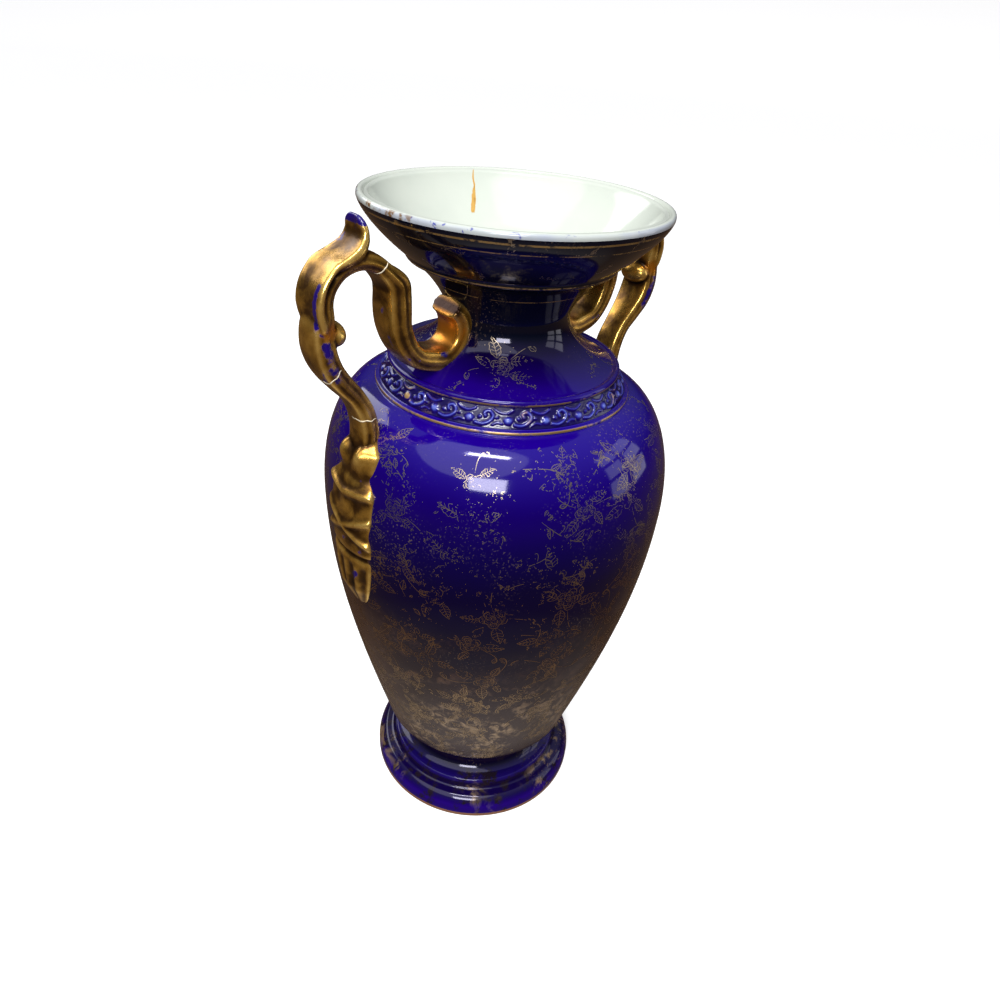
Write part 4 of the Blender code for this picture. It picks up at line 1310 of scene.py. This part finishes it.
def handle_gilding():
    """Antique gold: bright on the ridges, brown in the hollows, worn through to cobalt in places."""
    s = Shading("handle gilding")
    patina = s.noise(75.0, 5.0, 0.65, 0.4)
    hollow = s.mark("hollow")
    end_shade_mark = s.mark("end_shade_mark")
    tone = s.math("ADD", s.times(patina, 0.75), s.scaled(hollow, -0.95, 0.60), clamp=True)
    gold = s.ramp(tone, [(0.24, (0.020, 0.009, 0.004)), (0.44, (0.110, 0.052, 0.012)),
                         (0.62, (0.480, 0.260, 0.045)), (0.82, (0.860, 0.560, 0.150))])
    gold = s.mix(s.times(s.mark("red"), 0.85), gold, (0.750, 0.270, 0.020))
    # Painted shade on the scroll's end face by the neck
    end_shade = s.span(s.scaled(patina, -0.9, s.math("ADD", end_shade_mark, 0.45)), 0.25, 0.75)
    gold = s.mix(s.times(end_shade, end_shade_mark), gold, (0.030, 0.011, 0.006))
    ragged = s.math("ADD", s.mark("blue"), s.scaled(s.noise(260.0, 5.0, 0.7), 2.0, -1.0))
    blue = s.math("MAXIMUM", s.span(ragged, 0.40, 0.78), s.patches(0.66, 0.72, 48.0, 4.0, 0.6))
    cobalt = s.mix(s.span(hollow, 0.35, 0.75), (0.009, 0.002, 0.120), (0.003, 0.001, 0.035))
    s.set("Base Color", s.mix(blue, gold, cobalt))
    s.set("Metallic", s.span(blue, 0.0, 1.0, 0.80, 0.0))
    s.set("Roughness", s.scaled(tone, -0.20, 0.38))
    s.bump(s.noise(260.0, 4.0, 0.6), 0.25, 0.0004)
    return s.material


def filler():
    """Pale cream filler in the mended breaks."""
    s = Shading("filler")
    s.set("Base Color", s.mix(s.noise(700.0, 2.0), (0.62, 0.52, 0.34), (0.85, 0.80, 0.66)))
    s.set("Roughness", 0.5)
    s.bump(s.noise(900.0, 2.0), 0.4, 0.0001)
    return s.material


def gilt_line():
    """The thin gilt drawing on the glaze: pale at the shoulder, copper lower down."""
    s = Shading("gilt line")
    tone = s.noise(60.0, 3.0)
    high = s.mix(tone, (0.07, 0.05, 0.06), (0.52, 0.42, 0.28))
    middle = s.mix(tone, (0.09, 0.04, 0.02), (0.50, 0.28, 0.13))
    low = s.mix(tone, (0.16, 0.10, 0.06), (0.85, 0.62, 0.36))
    colour = s.mix(s.span(s.z, 0.235, 0.200), high, middle)
    s.set("Base Color", s.mix(s.span(s.z, 0.160, 0.110), colour, low))
    s.set("Metallic", 0.85)
    s.set("Roughness", s.scaled(tone, -0.2, 0.42))
    return s.material


def sweep():
    """The pale floor, curving up far away into a pale wall. It casts no light back on the vase."""
    profile = [(0.0, 0.0), (1.0, 0.0), (3.0, 0.0), (7.0, 0.0)]
    profile += [(7.0 + r, 3.0 + z) for r, z in arc((0.0, 0.0), 3.0, -80, 0, 10)] + [(10.0, 6.0)]
    mesh = turned_mesh("floor", [(profile, 0)], 48)
    item = placed("floor", mesh)
    item.visible_glossy = False
    item.visible_diffuse = False
    s = Shading("floor")
    s.set("Base Color", (0.88, 0.88, 0.88, 1.0))
    s.set("Roughness", 0.9)
    s.set("Emission Color", (1.0, 1.0, 1.0, 1.0))
    s.set("Emission Strength", FLOOR_GLOW)
    mesh.materials.append(s.material)


def aimed(lamp, azimuth, elevation, distance, target_z):
    """Put a lamp round the vase, by degrees and a distance, looking at a height on its axis."""
    out, up = polar(radians(elevation), distance)
    lamp.location = (*polar(radians(azimuth), out), LAMP_CENTRE_Z + up)
    lamp.rotation_euler = (Vector((0, 0, target_z)) - lamp.location).to_track_quat("-Z", "Y").to_euler()


def softbox(name, azimuth, elevation, distance, target_z, width, height, power):
    """A rectangular lamp that is seen in reflections but not by the camera itself."""
    lamp = bpy.data.lights.new(name, "AREA")
    lamp.shape = "RECTANGLE"
    lamp.size = width
    lamp.size_y = height
    lamp.energy = power
    item = placed(name, lamp)
    item.visible_camera = False
    aimed(item, azimuth, elevation, distance, target_z)


def studio():
    """A dim warm room, soft light from above, and the windows that the glaze reflects."""
    world = bpy.data.worlds.new("studio")
    bpy.context.scene.world = world
    world.use_nodes = True
    tree = world.node_tree
    split = tree.nodes.new("ShaderNodeSeparateXYZ")
    tree.links.new(tree.nodes.new("ShaderNodeTexCoord").outputs["Generated"], split.inputs[0])
    lifted = tree.nodes.new("ShaderNodeMapRange")
    lifted.inputs[1].default_value = -1.0
    tree.links.new(split.outputs[2], lifted.inputs[0])
    room = colour_ramp(tree, lifted.outputs[0], ROOM_COLOURS)
    tree.links.new(room, tree.nodes["Background"].inputs["Color"])
    tree.nodes["Background"].inputs["Strength"].default_value = 1.0
    sun = bpy.data.lights.new("sky", "SUN")
    sun.energy = SKY_POWER
    sun.angle = radians(SKY_SPREAD)
    aimed(placed("sky", sun), -160, 60, 2.0, LAMP_CENTRE_Z)
    for window in WINDOWS:
        softbox(*window)


def camera():
    """The photograph's viewpoint: a telephone's wide lens, close by and looking down."""
    level = Vector((sin(CAMERA_YAW), cos(CAMERA_YAW), 0))
    ahead = cos(CAMERA_PITCH) * level - sin(CAMERA_PITCH) * Vector((0, 0, 1))
    right = Vector((cos(CAMERA_YAW), -sin(CAMERA_YAW), 0))
    up = right.cross(ahead)
    right_rolled = cos(CAMERA_ROLL) * right + sin(CAMERA_ROLL) * up
    up_rolled = -sin(CAMERA_ROLL) * right + cos(CAMERA_ROLL) * up
    turn = Matrix.Rotation(-radians(CAMERA_TURN), 3, "Z")
    axes = Matrix((turn @ right_rolled, turn @ up_rolled, turn @ -ahead)).transposed()
    place = turn @ Vector((0, -CAMERA_DISTANCE, CAMERA_HEIGHT))
    data = bpy.data.cameras.new("camera")
    data.lens = CAMERA_LENS
    data.sensor_width = CAMERA_SENSOR
    item = placed("camera", data)
    item.matrix_world = Matrix.Translation(place) @ axes.to_4x4()
    bpy.context.scene.camera = item


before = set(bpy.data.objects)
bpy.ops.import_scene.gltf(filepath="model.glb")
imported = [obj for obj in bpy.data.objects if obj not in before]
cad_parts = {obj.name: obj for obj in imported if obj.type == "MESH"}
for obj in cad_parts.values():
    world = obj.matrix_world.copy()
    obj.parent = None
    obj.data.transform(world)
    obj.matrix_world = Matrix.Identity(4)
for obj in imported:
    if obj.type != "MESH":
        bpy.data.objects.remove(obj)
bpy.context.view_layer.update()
BODY_LINE = [HULL] + body_sides(80, 60)

foot = foot_profile()
bare_edge = [point for point in foot if point[1] <= BARE_EDGE_HEIGHT]
glazed_foot = [point for point in foot if point[1] > BARE_EDGE_HEIGHT]
sections = [(recess_profile(), 2), (bare_edge, 2), (glazed_foot, 0), (body_profile(), 0),
            (collar_profile(), 0), (neck_profile(), 0), (lip_profile(), 1), (inner_profile(), 1)]
body_mesh = turned_mesh("vase_body", sections, TURN_SEGMENTS)
new_piece("vase_body", body_mesh, cobalt_glaze(), white_glaze(), bare_clay())
gilt = handle_gilding()
for name, loss, turn, side in (("right", RIGHT_TIP_LOSS, RIGHT_HANDLE_TURN, -1), ("left", 0.0, 180.0, 1)):
    shape = handle_mesh(loss, side)
    shape.transform(Matrix.Rotation(radians(turn), 4, "Z") @ Matrix.Scale(HANDLE_SLACK, 4, (1, 0, 0)))
    piece = new_piece("handle_" + name, shape, gilt)
repair_loops(piece, pi, filler())

collar_band(collar_glaze())
gilt_drawing()
glued_crack(glue_stain())

sweep()
studio()
camera()
bpy.context.scene.view_settings.view_transform = "Standard"
